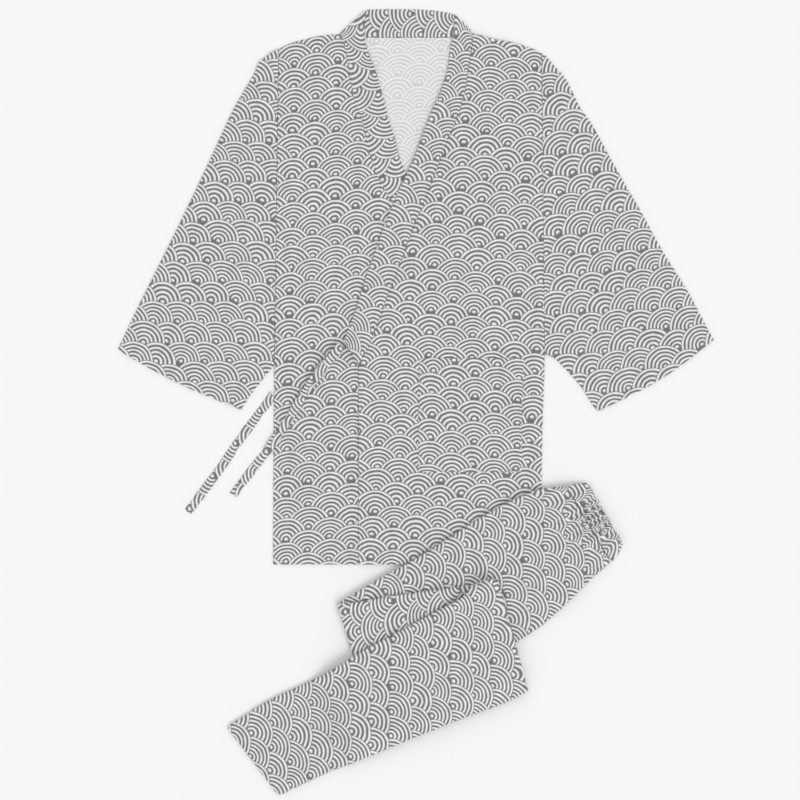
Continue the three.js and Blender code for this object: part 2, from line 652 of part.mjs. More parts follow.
const set = new THREE.Group();
set.add(
  backPanel(),
  underFront(),
  overFront(),
  sleeve('jacket_right_sleeve', RIGHT_SLEEVE),
  sleeve('jacket_left_sleeve', LEFT_SLEEVE),
  collarBand(),
  pocket(),
  tie('jacket_front_tie', FRONT_TIE),
  tie('jacket_side_tie', SIDE_TIE),
  waistband(),
  outerLeg(),
  innerLeg(),
);
const centre = new THREE.Box3().setFromObject(set).getCenter(new THREE.Vector3());
set.position.set(-centre.x, -centre.y, 0);

export default set;
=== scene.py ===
"""Looks of a jinbei set laid flat: a wrap jacket with wide open sleeves, and its folded trousers.

Every table is in millimetres in the jacket's own frame: the origin is on the surface below the middle
of the hem, +X is towards the wearer's left, +Y towards the collar and +Z up. Placement turns those
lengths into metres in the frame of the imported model.
"""

import logging
import math
from collections.abc import Callable
from dataclasses import dataclass, field
from enum import Enum

import bpy
import numpy as np
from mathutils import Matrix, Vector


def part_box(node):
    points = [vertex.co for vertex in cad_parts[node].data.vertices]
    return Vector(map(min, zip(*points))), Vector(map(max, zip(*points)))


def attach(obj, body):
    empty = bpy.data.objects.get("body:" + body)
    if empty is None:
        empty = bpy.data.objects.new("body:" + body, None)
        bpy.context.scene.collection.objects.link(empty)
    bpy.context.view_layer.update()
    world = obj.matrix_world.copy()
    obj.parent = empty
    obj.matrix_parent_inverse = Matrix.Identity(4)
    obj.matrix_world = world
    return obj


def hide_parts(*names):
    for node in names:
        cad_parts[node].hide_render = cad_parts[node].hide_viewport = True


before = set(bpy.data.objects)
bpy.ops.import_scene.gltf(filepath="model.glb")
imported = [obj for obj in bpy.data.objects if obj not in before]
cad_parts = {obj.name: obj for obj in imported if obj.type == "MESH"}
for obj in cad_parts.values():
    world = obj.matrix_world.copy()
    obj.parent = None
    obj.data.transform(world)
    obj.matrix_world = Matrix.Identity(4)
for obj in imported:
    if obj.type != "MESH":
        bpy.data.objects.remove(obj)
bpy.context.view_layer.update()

Array = np.ndarray
Object = bpy.types.Object
Row = tuple[float, ...]
Curve = Callable[[Array], Array]

log = logging.getLogger("jinbei")

# Thickness of the cloth here and in the solids, and the gap that the solids leave at a seam
MM = 0.001
CLOTH = 0.8
CAD_CLOTH = 1.2
SEAM = 0.3

# Distance between points of the cloth, on the flat, in a fold and just inside an edge
GRID = 4.0
FOLD_GRID = 1.3
EDGE_PAIR = 1.2

# Steps round the cloth's rounded rim, and round a quarter of a folded edge
RIM_STEPS = 4
FOLD_STEPS = 4
UP = np.array([0.0, 0.0, 1.0])


class Face(Enum):
    """Which side of the cloth lies along a layer's own upward or outward direction."""

    PRINTED = 0
    REVERSE = 1


class Slot(Enum):
    """Two names for cloth finishes."""

    CLOTH = "printed_cotton"
    BAND = "printed_cotton_band"


# ---------------------------------------------------------------------------------------------
# Curves, tables and soft creases
# ---------------------------------------------------------------------------------------------


def smooth(at: Array) -> Array:
    """A soft step from 0 to 1 as at goes from 0 to 1."""
    held = np.clip(at, 0.0, 1.0)
    return held * held * (3.0 - 2.0 * held)


def through(knots: Array, values: Array, at: Array) -> Array:
    """Reads a smooth curve that passes through the given values and never overshoots them.

    Args:
        knots: Rising positions of the values.
        values: The value at each knot.
        at: Where to read the curve.

    Returns:
        The curve's value at each position, held level beyond both ends.
    """
    step = np.diff(knots)
    slope = np.diff(values) / step
    before, after = slope[:-1], slope[1:]
    total = np.where(before + after == 0.0, 1.0, before + after)
    middle = np.where(before * after > 0.0, 2.0 * before * after / total, 0.0)
    tangent = np.concatenate([slope[:1], middle, slope[-1:]])
    i = np.clip(np.searchsorted(knots, at, side="right") - 1, 0, len(step) - 1)
    t = np.clip((at - knots[i]) / step[i], 0.0, 1.0)
    start = (1.0 + 2.0 * t) * (1.0 - t) ** 2 * values[i] + t * (1.0 - t) ** 2 * step[i] * tangent[i]
    end = t * t * (3.0 - 2.0 * t) * values[i + 1] - t * t * (1.0 - t) * step[i] * tangent[i + 1]
    return start + end


@dataclass(frozen=True)
class Table:
    """A short table with named columns.

    Args:
        names: The columns' names, with spaces between.
        rows: One tuple for each row.
    """

    names: str
    rows: tuple[Row, ...]

    def column(self, name: str) -> Array:
        """All the values of one column."""
        return np.array([row[self.names.split().index(name)] for row in self.rows], float)

    def at(self, key: str, where: Array, name: str) -> Array:
        """Reads one column as a smooth curve over another.

        Args:
            key: The column that rises down the table.
            where: Values of the key.
            name: The column to read.

        Returns:
            The column's value at each place.
        """
        return through(self.column(key), self.column(name), np.asarray(where, float))

    def path(self, names: str, spacing: float) -> tuple[Array, Array]:
        """Follows the rows as one smooth path, measured along its first two columns.

        Args:
            names: The columns to read.
            spacing: Distance between points in millimetres.

        Returns:
            The values, one row for each point, and the distance along the path.
        """
        wanted = np.stack([self.column(name) for name in names.split()], axis=1)
        hops = np.linalg.norm(np.diff(wanted[:, :2], axis=0), axis=1)
        along = np.concatenate([[0.0], np.cumsum(hops)])
        at = np.linspace(0.0, along[-1], math.ceil(along[-1] / spacing) + 1)
        return np.stack([through(along, column, at) for column in wanted.T], axis=1), at


@dataclass(frozen=True)
class Crease:
    """A soft ridge in the cloth, steeper on one side, fading out at both ends.

    Args:
        start: Where it begins, in plan.
        end: Where it ends, in plan.
        width: Half width of its steep side.
        height: How high its crest stands.
        bow: How far its middle bends off the straight line.
        lean: How much wider its gentle side is.
        fades: Shares of its length over which it rises at its start and sinks at its end.
    """

    start: tuple[float, float]
    end: tuple[float, float]
    width: float
    height: float
    bow: float = 0.0
    lean: float = 1.8
    fades: tuple[float, float] = (0.35, 0.45)

    def lift(self, x: Array, y: Array) -> Array:
        """How far the crease lifts the cloth.

        Args:
            x: Places in plan, across.
            y: Places in plan, up the garment.

        Returns:
            The lift at each place, in millimetres.
        """
        run = np.subtract(self.end, self.start)
        length = float(np.hypot(*run))
        ahead = run / length
        along = ((x - self.start[0]) * ahead[0] + (y - self.start[1]) * ahead[1]) / length
        off = (y - self.start[1]) * ahead[0] - (x - self.start[0]) * ahead[1]
        off = off - 4.0 * self.bow * along * (1.0 - along)
        wide = np.where(off > 0.0, self.width * self.lean, self.width)
        fade = smooth(along / self.fades[0]) * smooth((1.0 - along) / self.fades[1])
        return self.height * fade * np.exp(-((off / wide) ** 2))


def lifted(creases: tuple[Crease, ...], x: Array, y: Array) -> Array:
    """The height that several creases give the cloth together."""
    return sum((crease.lift(x, y) for crease in creases), np.zeros(np.shape(x)))


@dataclass(frozen=True)
class Lay:
    """How a piece is cut out of the printed cloth.

    Args:
        turn: Degrees anticlockwise from the garment's up to the print's up.
        slant: Degrees by which the print's rows climb.
        across: Place of one scale's centre, in the garment's own plan.
        up: The same, up the garment.
    """

    turn: float = 0.0
    slant: float = 0.0
    across: float = 0.0
    up: float = 0.0

    def cut(self, x: Array, y: Array) -> Array:
        """Where points in plan lie on the printed cloth.

        Args:
            x: The points' places across.
            y: The points' places up the garment.

        Returns:
            Millimetres across and up the print.
        """
        angle = math.radians(self.turn)
        east, north = x - self.across, y - self.up
        u = east * math.cos(angle) + north * math.sin(angle)
        v = north * math.cos(angle) - east * math.sin(angle) - math.tan(math.radians(self.slant)) * u
        return np.stack([u, v], axis=-1)


# ---------------------------------------------------------------------------------------------
# Finishes
# ---------------------------------------------------------------------------------------------


class Graph:
    """Small helper that adds and links shader nodes in one tree."""

    def __init__(self, tree: bpy.types.NodeTree) -> None:
        """Starts writing into a node tree."""
        self.tree = tree

    def node(self, kind: str, **settings: object) -> bpy.types.Node:
        """Adds a node.

        Args:
            kind: The node's type.
            settings: The options to set on it, by name.

        Returns:
            The new node.
        """
        made = self.tree.nodes.new(kind)
        for name, value in settings.items():
            setattr(made, name, value)
        return made

    def feed(self, socket: bpy.types.NodeSocket, value: object) -> None:
        """Links a socket, or sets it.

        Args:
            socket: The input to feed.
            value: A socket to link from, or else a plain number or colour.
        """
        if isinstance(value, bpy.types.NodeSocket):
            self.tree.links.new(value, socket)
        else:
            socket.default_value = value

    def math(self, operation: str, *values: object) -> bpy.types.NodeSocket:
        """Adds a Math node.

        Args:
            operation: The node's operation.
            values: Its inputs, as sockets or numbers.

        Returns:
            The node's output.
        """
        made = self.node("ShaderNodeMath", operation=operation)
        for socket, value in zip(made.inputs, values):
            self.feed(socket, value)
        return made.outputs[0]

    def blend(self, share: object, low: object, high: object) -> bpy.types.NodeSocket:
        """A number that goes from low to high with share."""
        return self.math("MULTIPLY_ADD", self.math("SUBTRACT", high, low), share, low)

    def soft(self, value: object, low: float, high: float) -> bpy.types.NodeSocket:
        """Adds a soft step.

        Args:
            value: What is stepped.
            low: Where the step is still 0.
            high: Where it has become 1.

        Returns:
            The step's output.
        """
        made = self.node("ShaderNodeMapRange", interpolation_type="SMOOTHSTEP", clamp=True)
        self.feed(made.inputs["Value"], value)
        made.inputs["From Min"].default_value = low
        made.inputs["From Max"].default_value = high
        return made.outputs["Result"]

    def noise(self, place: object, scale: float, detail: float = 1.0) -> bpy.types.Node:
        """Adds a flat noise texture.

        Args:
            place: Where it is read.
            scale: How fine it is.
            detail: Its octaves.

        Returns:
            The node, whose outputs are Fac and Color.
        """
        made = self.node("ShaderNodeTexNoise", noise_dimensions="2D")
        self.feed(made.inputs["Vector"], place)
        made.inputs["Scale"].default_value = scale
        made.inputs["Detail"].default_value = detail
        return made

    def colour(self, share: object, low: Row, high: Row) -> bpy.types.NodeSocket:
        """Mixes two colours.

        Args:
            share: How much of the second colour there is.
            low: The first colour.
            high: The second colour.

        Returns:
            The mixed colour.
        """
        made = self.node("ShaderNodeMix", data_type="RGBA")
        self.feed(made.inputs["Factor"], share)
        made.inputs["A"].default_value = (*low, 1.0)
        made.inputs["B"].default_value = (*high, 1.0)
        return made.outputs["Result"]


@dataclass(frozen=True)
class WaveScales:
    """The print: rows of overlapping scales, each of four or five white arcs round a white dot.

    Args:
        pitch: Distance between scales in a row, in metres.
        row: Distance between rows, as a share of the pitch.
        arcs: Arcs from a scale's centre to its rim.
        dot: Radius of the solid white centre, in arcs.
        radii: The smallest and the largest scale's radius, as shares of the pitch.
        more_arcs_from: Scales above this share of the way between the two have one arc more.
        wander: How far the hand-drawn lines stray, as a share of the pitch.
        shift: How far a scale may lie from its place, across and up, as shares of the pitch.
        squash: The least and the most that a scale is flattened.
        foot: Between which heights, in pitches, a scale's lines end at its foot.
        foot_tone: The wave's value below the foot.
        press: How unevenly the lines are printed.
        line_edge: Values of the wave between which it turns from ground to line.
        name: The node group's name.
    """

    pitch: float = 0.0602
    row: float = 0.2635
    arcs: float = 4.7
    dot: float = 0.28
    radii: tuple[float, float] = (0.435, 0.53)
    more_arcs_from: float = 0.45
    wander: float = 0.026
    shift: tuple[float, float] = (0.022, 0.015)
    squash: tuple[float, float] = (0.96, 1.06)
    foot: tuple[float, float] = (-0.05, 0.02)
    foot_tone: float = -0.9
    press: float = 0.3
    line_edge: tuple[float, float] = (-1.0, 1.5)
    name: str = "wave_scale_print"

    def group(self) -> bpy.types.NodeTree:
        """Builds the node group of the print.

        Returns:
            The group, which gives 1 on a white line and 0 between lines.
        """
        found = bpy.data.node_groups.get(self.name)
        if found:
            return found
        tree = bpy.data.node_groups.new(self.name, "ShaderNodeTree")
        tree.interface.new_socket("Cut", in_out="INPUT", socket_type="NodeSocketVector")
        tree.interface.new_socket("White", in_out="OUTPUT", socket_type="NodeSocketFloat")
        g = Graph(tree)
        inside, outside = g.node("NodeGroupInput"), g.node("NodeGroupOutput")
        place = self.strayed(g, inside.outputs["Cut"])
        split = g.node("ShaderNodeSeparateXYZ")
        g.feed(split.inputs[0], place)
        across, up = split.outputs[0], split.outputs[1]
        row = g.math("FLOOR", g.math("DIVIDE", up, self.row))
        value, _ = self.scale_of(g, across, up, g.math("ADD", row, 1.0))
        for below in (0.0, -1.0, -2.0):
            rings, cover = self.scale_of(g, across, up, g.math("ADD", row, below))
            value = g.blend(cover, value, rings)
        uneven = g.blend(g.noise(place, 5.0, 2.0).outputs[0], -self.press, self.press)
        g.feed(outside.inputs["White"], g.soft(g.math("ADD", value, uneven), *self.line_edge))
        return tree

    def strayed(self, g: Graph, cut: bpy.types.NodeSocket) -> bpy.types.NodeSocket:
        """Scales the cut's coordinates to the pitch and makes them stray like a hand-drawn line.

        Args:
            g: The graph to write in.
            cut: Place on the flat cloth, in metres.

        Returns:
            Place on the print, in pitches.
        """
        place = g.node("ShaderNodeVectorMath", operation="SCALE")
        g.feed(place.inputs[0], cut)
        place.inputs["Scale"].default_value = 1.0 / self.pitch
        place = place.outputs[0]
        for scale, reach in ((1.3, self.wander), (5.5, 0.36 * self.wander)):
            moved = g.node("ShaderNodeVectorMath", operation="MULTIPLY_ADD")
            g.feed(moved.inputs[0], g.noise(place, scale).outputs["Color"])
            moved.inputs[1].default_value = (2.0 * reach, 2.0 * reach, 0.0)
            g.feed(moved.inputs[2], place)
            place = moved.outputs[0]
        return place

    def scale_of(self, g: Graph, across: object, up: object, row: object) -> tuple[object, object]:
        """Draws the nearest scale of one row.

        Args:
            g: The graph to write in.
            across: Place across the print, in pitches.
            up: Place up the print, in pitches.
            row: Which row of scales.

        Returns:
            The rings' wave from -1 to 1, and 1 where the scale covers what is behind it.
        """
        offset = g.math("MULTIPLY", g.math("FLOORED_MODULO", row, 2.0), 0.5)
        centre = g.math("ADD", g.math("ROUND", g.math("SUBTRACT", across, offset)), offset)
        key = g.node("ShaderNodeCombineXYZ")
        g.feed(key.inputs[0], g.math("MULTIPLY", centre, 2.0))
        g.feed(key.inputs[1], row)
        chance = g.node("ShaderNodeTexWhiteNoise", noise_dimensions="2D")
        g.feed(chance.inputs["Vector"], key.outputs[0])
        dice = g.node("ShaderNodeSeparateColor")
        g.feed(dice.inputs[0], chance.outputs["Color"])
        size = chance.outputs["Value"]
        side, rise = self.shift
        east = g.math("SUBTRACT", g.math("SUBTRACT", across, centre), g.blend(dice.outputs[0], -side, side))
        height = g.math("MULTIPLY_ADD", row, -self.row, up)
        north = g.math("SUBTRACT", height, g.blend(dice.outputs[1], -rise, rise))
        north = g.math("MULTIPLY", north, g.blend(dice.outputs[2], *self.squash))
        away = g.math("SQRT", g.math("ADD", g.math("MULTIPLY", east, east), g.math("MULTIPLY", north, north)))
        reach = g.math("DIVIDE", away, g.blend(size, *self.radii))
        more = g.math("GREATER_THAN", size, self.more_arcs_from)
        turns = g.math("MULTIPLY", reach, g.math("MULTIPLY_ADD", more, 1.0, self.arcs))
        turns = g.math("MAXIMUM", g.math("SUBTRACT", turns, self.dot), 0.0)
        rings = g.math("COSINE", g.math("MULTIPLY", turns, 2.0 * math.pi))
        rings = g.blend(g.soft(north, *self.foot), self.foot_tone, rings)
        return rings, g.math("LESS_THAN", reach, 1.0)


@dataclass(frozen=True)
class PrintedCotton:
    """Matt plain-weave cotton with the wave-scale print on one side.

    Args:
        name: The material's name.
        ground: Colour between the lines.
        line: Colour of the printed lines.
        rough: Roughness of the cloth.
        nap: Strength of its soft sheen.
        thread: Distance between threads, in metres.
        shine: Its specular level.
        worn: Brightness left on the thinnest yarn.
        relief: Height of the weave's bump, in metres.
        scales: The print.
    """

    name: str
    ground: Row
    line: Row
    rough: float = 0.92
    nap: float = 0.12
    thread: float = 0.00055
    shine: float = 0.2
    worn: float = 0.93
    relief: float = 0.00012
    scales: WaveScales = field(default_factory=WaveScales)

    def material(self) -> bpy.types.Material:
        """Builds the material.

        Returns:
            The new material, or the one already built under its name.
        """
        found = bpy.data.materials.get(self.name)
        if found:
            return found
        made = bpy.data.materials.new(self.name)
        made.use_nodes = True
        g = Graph(made.node_tree)
        shader = made.node_tree.nodes["Principled BSDF"]
        shader.inputs["Roughness"].default_value = self.rough
        shader.inputs["Sheen Weight"].default_value = self.nap
        shader.inputs["Sheen Roughness"].default_value = 0.5
        shader.inputs["Specular IOR Level"].default_value = self.shine
        cut = g.node("ShaderNodeUVMap", uv_map="print").outputs[0]
        group = g.node("ShaderNodeGroup", node_tree=self.scales.group())
        g.feed(group.inputs["Cut"], cut)
        white = group.outputs["White"]
        weave, slub = self.weave(g, cut)
        inked = g.colour(white, self.ground, self.line)
        worn = g.node("ShaderNodeMix", data_type="RGBA", blend_type="MULTIPLY")
        worn.inputs["Factor"].default_value = 1.0
        g.feed(worn.inputs["A"], inked)
        g.feed(worn.inputs["B"], g.colour(slub, (self.worn,) * 3, (1.0,) * 3))
        g.feed(shader.inputs["Base Color"], worn.outputs["Result"])
        bump = g.node("ShaderNodeBump")
        bump.inputs["Strength"].default_value = 0.35
        bump.inputs["Distance"].default_value = self.relief
        g.feed(bump.inputs["Height"], weave)
        g.feed(shader.inputs["Normal"], bump.outputs[0])
        return made

    def weave(self, g: Graph, cut: bpy.types.NodeSocket) -> tuple[object, object]:
        """Draws the plain weave.

        Args:
            g: The graph to write in.
            cut: Place on the flat cloth, in metres.

        Returns:
            The threads' height from 0 to 1, and the unevenness of the yarn from 0 to 1.
        """
        split = g.node("ShaderNodeSeparateXYZ")
        g.feed(split.inputs[0], cut)
        waves = [
            g.math("SINE", g.math("MULTIPLY", split.outputs[i], math.pi / self.thread)) for i in (0, 1)
        ]
        over = g.math("MULTIPLY_ADD", g.math("MULTIPLY", waves[0], waves[1]), 0.5, 0.5)
        streaks = []
        for stretch in ((900.0, 60.0, 1.0), (60.0, 900.0, 1.0)):
            mapped = g.node("ShaderNodeVectorMath", operation="MULTIPLY")
            g.feed(mapped.inputs[0], cut)
            mapped.inputs[1].default_value = stretch
            streaks.append(g.noise(mapped.outputs[0], 1.0, 1.0).outputs[0])
        slub = g.math("MULTIPLY", g.math("ADD", *streaks), 0.5)
        return g.blend(slub, g.math("MULTIPLY", over, 0.7), over), g.soft(slub, 0.3, 0.6)


@dataclass(frozen=True)
class SewingThread:
    """Twisted cotton thread.

    Args:
        name: The material's name.
        tint: Its colour.
        shade: Brightness left between its twists, as painted shade in the grooves between them.
        twists: How many of them there are in a metre.
        relief: Height of the twist's bump, in metres.
    """

    name: str = "sewing_thread"
    tint: Row = (0.62, 0.62, 0.62)
    shade: float = 0.85
    twists: float = 900.0
    relief: float = 0.00005

    def material(self) -> bpy.types.Material:
        """Builds the material.

        Returns:
            The new material, or the one already built under its name.
        """
        found = bpy.data.materials.get(self.name)
        if found:
            return found
        made = bpy.data.materials.new(self.name)
        made.use_nodes = True
        g = Graph(made.node_tree)
        shader = made.node_tree.nodes["Principled BSDF"]
        shader.inputs["Roughness"].default_value = 0.75
        twist = g.node("ShaderNodeTexWave", bands_direction="DIAGONAL")
        twist.inputs["Scale"].default_value = self.twists
        g.feed(twist.inputs["Vector"], g.node("ShaderNodeTexCoord").outputs["Object"])
        # Painted shade: the thread's colour darkens in the twist's low bands, where the grooves between
        # twists would be shaded.
        twist_shade_tint = tuple(self.shade * part for part in self.tint)
        g.feed(shader.inputs["Base Color"], g.colour(twist.outputs["Fac"], twist_shade_tint, self.tint))
        bump = g.node("ShaderNodeBump")
        bump.inputs["Distance"].default_value = self.relief
        g.feed(bump.inputs["Height"], twist.outputs["Fac"])
        g.feed(shader.inputs["Normal"], bump.outputs[0])
        return made


COTTON = PrintedCotton("printed_cotton_face", ground=(0.17, 0.17, 0.17), line=(0.97, 0.97, 0.97))
COTTON_BACK = PrintedCotton("printed_cotton_reverse", ground=(0.66, 0.66, 0.66), line=(0.9, 0.9, 0.9))
THREAD = SewingThread()


# ---------------------------------------------------------------------------------------------
# Meshes of cloth
# ---------------------------------------------------------------------------------------------


@dataclass(frozen=True)
class Placement:
    """Where the jacket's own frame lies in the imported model, worked out from the back panel's box.

    Args:
        back_low_x: Low end of the back panel across the jacket's own frame.
        back_low_y: The same up the frame.
    """

    back_low_x: float = -191.5
    back_low_y: float = 0.0

    def metres(self, points: Array) -> Array:
        """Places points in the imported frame.

        Args:
            points: Points of the jacket's own frame, in millimetres.

        Returns:
            The same points in metres.
        """
        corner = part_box("jacket_back")[0]
        shift = np.array([corner.x - self.back_low_x * MM, corner.y - self.back_low_y * MM, corner.z])
        return np.asarray(points, float) * MM + shift


PLACE = Placement()


def unit(vectors: Array) -> Array:
    """The vectors scaled to length 1."""
    return vectors / np.maximum(np.linalg.norm(vectors, axis=-1, keepdims=True), 1e-9)


@dataclass
class Cloth:
    """One layer of cloth: a grid of points half way through it.

    Args:
        points: Rows by columns by 3, in millimetres. A round piece repeats its first column at the end.
        cut: Rows by columns by 2: where each point lies on the printed cloth, in millimetres.
        face: The side of the cloth that looks up, or out of a round piece.
        thick: The layer's thickness.
        round: Whether the columns close into a tube.
        wrapped: Whether the outward side is away from each row's middle, and not just upwards.
        normals: Outward directions, if they can't be told from the grid.
    """

    points: Array
    cut: Array
    face: Face = Face.PRINTED
    thick: float = CLOTH
    round: bool = False
    wrapped: bool = False
    normals: Array | None = None

    def outward(self) -> Array:
        """The direction out of the layer.

        Returns:
            A unit vector for each point.
        """
        if self.normals is not None:
            return unit(self.normals)
        grid = self.points
        down = np.gradient(grid, axis=0)
        if self.round:
            ring = np.concatenate([grid[:, -2:-1], grid, grid[:, 1:2]], axis=1)
            over = (ring[:, 2:] - ring[:, :-2]) / 2.0
        else:
            over = np.gradient(grid, axis=1)
        normals = unit(np.cross(down, over))
        if self.round or self.wrapped:
            away = grid - grid.mean(axis=1, keepdims=True)
            sign = float(np.sign((normals[..., 2] * away[..., 2]).sum()))
        else:
            sign = float(np.sign(normals[..., 2].sum()))
        return normals * sign

    def rims(self) -> list[tuple[Array, Array]]:
        """The closed borders of the grid.

        Returns:
            Row and column numbers along each border, which ends where it began.
        """
        rows, columns = self.points.shape[:2]
        i, j = np.arange(rows), np.arange(columns)
        if self.round:
            return [(np.zeros_like(j), j), (np.full_like(j, rows - 1), j[::-1])]
        along = np.concatenate([np.zeros_like(j), i[1:], np.full_like(j[1:], rows - 1), i[::-1][1:]])
        across = np.concatenate([j, np.full_like(i[1:], columns - 1), j[::-1][1:], np.zeros_like(i[1:])])
        return [(along, across)]

    def borders(self) -> Array:
        """In-plane directions out of the cloth at its borders.

        Returns:
            A unit vector for each point of a border, and zero elsewhere.
        """
        out = np.zeros_like(self.points)
        down = unit(np.gradient(self.points, axis=0))
        out[0] -= down[0]
        out[-1] += down[-1]
        if not self.round:
            over = unit(np.gradient(self.points, axis=1))
            out[:, 0] -= over[:, 0]
            out[:, -1] += over[:, -1]
        return unit(out)

    def build(self, name: str) -> Object:
        """Builds the closed shell with its rounded rims and links it to the scene.

        Args:
            name: The piece's name.

        Returns:
            The new object, with the printed face in its first material slot and the reverse in its second.
        """
        rows, columns = self.points.shape[:2]
        wide = columns - 1 if self.round else columns
        half = self.thick / 2.0
        outward, border = self.outward(), self.borders()
        middle = self.points - border * half
        layers = [(middle + outward * half)[:, :wide], (middle - outward * half)[:, :wide]]
        points = [layer.reshape(-1, 3) for layer in layers]
        size = rows * wide
        i, j = np.meshgrid(np.arange(rows - 1), np.arange(columns - 1), indexing="ij")
        ring = [(i, j), (i + 1, j), (i + 1, j + 1), (i, j + 1)]
        top = np.stack([(a * wide + b % wide).ravel() for a, b in ring], axis=1)
        top_cut = np.stack([(a * columns + b).ravel() for a, b in ring], axis=1)
        faces, cuts = [top, top[:, ::-1] + size], [top_cut, top_cut[:, ::-1]]
        shown = self.face.value
        sides = [np.full(len(top), shown), np.full(len(top), 1 - shown)]
        total = 2 * size
        for along, across in self.rims():
            vertex = (along * wide + across % wide)[:-1]
            place = along * columns + across
            normal = outward[:, :wide].reshape(-1, 3)[vertex]
            out = border[:, :wide].reshape(-1, 3)[vertex]
            core = middle[:, :wide].reshape(-1, 3)[vertex]
            rings = [vertex]
            for k in range(1, RIM_STEPS):
                angle = math.pi * k / RIM_STEPS
                points.append(core + half * (normal * math.cos(angle) + out * math.sin(angle)))
                rings.append(np.arange(len(vertex)) + total)
                total += len(vertex)
            rings.append(vertex + size)
            for near, far in zip(rings[:-1], rings[1:]):
                ahead = [np.roll(near, -1), np.roll(far, -1)]
                faces.append(np.stack([near, ahead[0], ahead[1], far], axis=1))
                cuts.append(np.stack([place[:-1], place[1:], place[1:], place[:-1]], axis=1))
                sides.append(np.zeros(len(vertex), int))
        every = np.concatenate(points)
        quads, corner, side = np.concatenate(faces), np.concatenate(cuts), np.concatenate(sides)
        if signed_volume(every, quads) < 0.0:
            quads, corner = quads[:, ::-1], corner[:, ::-1]
        uv = self.cut.reshape(-1, 2)[corner.ravel()] * MM
        return linked_mesh(name, PLACE.metres(every), quads, uv, side)


def signed_volume(points: Array, quads: Array) -> float:
    """The volume inside a closed mesh of quads, negative if its faces look inwards."""
    a, b, c, d = (points[quads[:, k]] for k in range(4))
    return float(((a * np.cross(b, c)).sum() + (a * np.cross(c, d)).sum()) / 6.0)


def linked_mesh(name: str, points: Array, quads: Array, uv: Array, side: Array) -> Object:
    """Makes a mesh object from arrays and links it to the scene.

    Args:
        name: The object's name.
        points: Its vertices in metres.
        quads: Four vertex numbers a face.
        uv: One place on the flat cloth for each corner of each face.
        side: The material slot of each face.

    Returns:
        The new object.
    """
    mesh = bpy.data.meshes.new(name)
    mesh.from_pydata(points.tolist(), [], quads.tolist())
    layer = mesh.uv_layers.new(name="print")
    layer.data.foreach_set("uv", uv.astype(np.float32).ravel())
    mesh.polygons.foreach_set("material_index", side.astype(np.int32))
    mesh.polygons.foreach_set("use_smooth", np.ones(len(quads), bool))
    mesh.update()
    made = bpy.data.objects.new(name, mesh)
    bpy.context.scene.collection.objects.link(made)
    return made


@dataclass(frozen=True)
class StitchRow:
    """A row of straight stitches lying in the cloth.

    Args:
        line: Points along the row, in millimetres, just on the cloth.
        up: Direction out of the cloth at each point, or one direction for all.
        length: Length of one stitch.
        pitch: Distance from one stitch to the next.
        thread: Radius of the thread.
        around: Points round the thread.
        form: One stitch: share of its length, rise over the cloth and share of the full girth.
    """

    line: Array
    up: Array = field(default_factory=UP.copy)
    length: float = 2.3
    pitch: float = 3.1
    thread: float = 0.17
    around: int = 5
    form: Table = Table(
        "share rise girth",
        (
            (0.0, -0.35, 0.4), (0.12, 0.02, 0.9), (0.35, 0.13, 1.0),
            (0.65, 0.13, 1.0), (0.88, 0.02, 0.9), (1.0, -0.35, 0.4),
        ),
    )

    def mesh(self) -> tuple[Array, Array]:
        """Makes the stitches.

        Returns:
            Their points, and faces of four numbers each.
        """
        hops = np.linalg.norm(np.diff(self.line, axis=0), axis=1)
        along = np.concatenate([[0.0], np.cumsum(hops)])
        starts = np.arange(self.pitch / 2, along[-1] - self.length, self.pitch)
        share, rise = self.form.column("share"), self.form.column("rise")
        girth = self.form.column("girth") * self.thread
        at = (starts[:, None] + share * self.length).ravel()
        up = np.broadcast_to(self.up, self.line.shape)
        spine = np.stack([np.interp(at, along, self.line[:, k]) for k in range(3)], axis=1)
        out = unit(np.stack([np.interp(at, along, up[:, k]) for k in range(3)], axis=1))
        rings, sides = len(share), self.around
        spine = (spine + out * np.tile(rise, len(starts))[:, None]).reshape(len(starts), rings, 3)
        out = out.reshape(spine.shape)
        aside = unit(np.cross(np.gradient(spine, axis=1), out))
        angle = np.arange(sides) * 2.0 * math.pi / sides
        points = (
            spine[:, :, None]
            + girth[None, :, None, None] * np.cos(angle)[:, None] * aside[:, :, None]
            + girth[None, :, None, None] * np.sin(angle)[:, None] * out[:, :, None]
        )
        s, k, m = np.meshgrid(np.arange(len(starts)), np.arange(rings - 1), np.arange(sides), indexing="ij")
        first = (s * rings + k) * sides
        after = (m + 1) % sides
        quads = np.stack([first + m, first + after, first + sides + after, first + sides + m], axis=-1)
        return points.reshape(-1, 3), quads.reshape(-1, 4)

    def ends(self, first: int, count: int) -> list[list[int]]:
        """The faces that close both ends of every stitch.

        Args:
            first: Number of the row's first point.
            count: How many points the row has.

        Returns:
            The faces, as lists of point numbers.
        """
        sides = self.around
        stitch = len(self.form.rows) * sides
        faces: list[list[int]] = []
        for start in range(first, first + count, stitch):
            faces.append(list(range(start, start + sides))[::-1])
            faces.append(list(range(start + stitch - sides, start + stitch)))
        return faces


def stitched(name: str, rows: list[StitchRow]) -> Object:
    """Joins several rows of stitches into one piece, with both ends of each thread closed.

    Args:
        name: The piece's name.
        rows: The rows of stitches.

    Returns:
        The new object.
    """
    points: list[Array] = []
    faces: list[list[int]] = []
    total = 0
    for row in rows:
        made, quads = row.mesh()
        points.append(made)
        faces += (quads + total).tolist()
        faces += row.ends(total, len(made))
        total += len(made)
    mesh = bpy.data.meshes.new(name)
    mesh.from_pydata(PLACE.metres(np.concatenate(points)).tolist(), [], faces)
    mesh.polygons.foreach_set("use_smooth", np.ones(len(faces), bool))
    mesh.materials.append(THREAD.material())
    mesh.update()
    made = bpy.data.objects.new(name, mesh)
    bpy.context.scene.collection.objects.link(made)
    return made


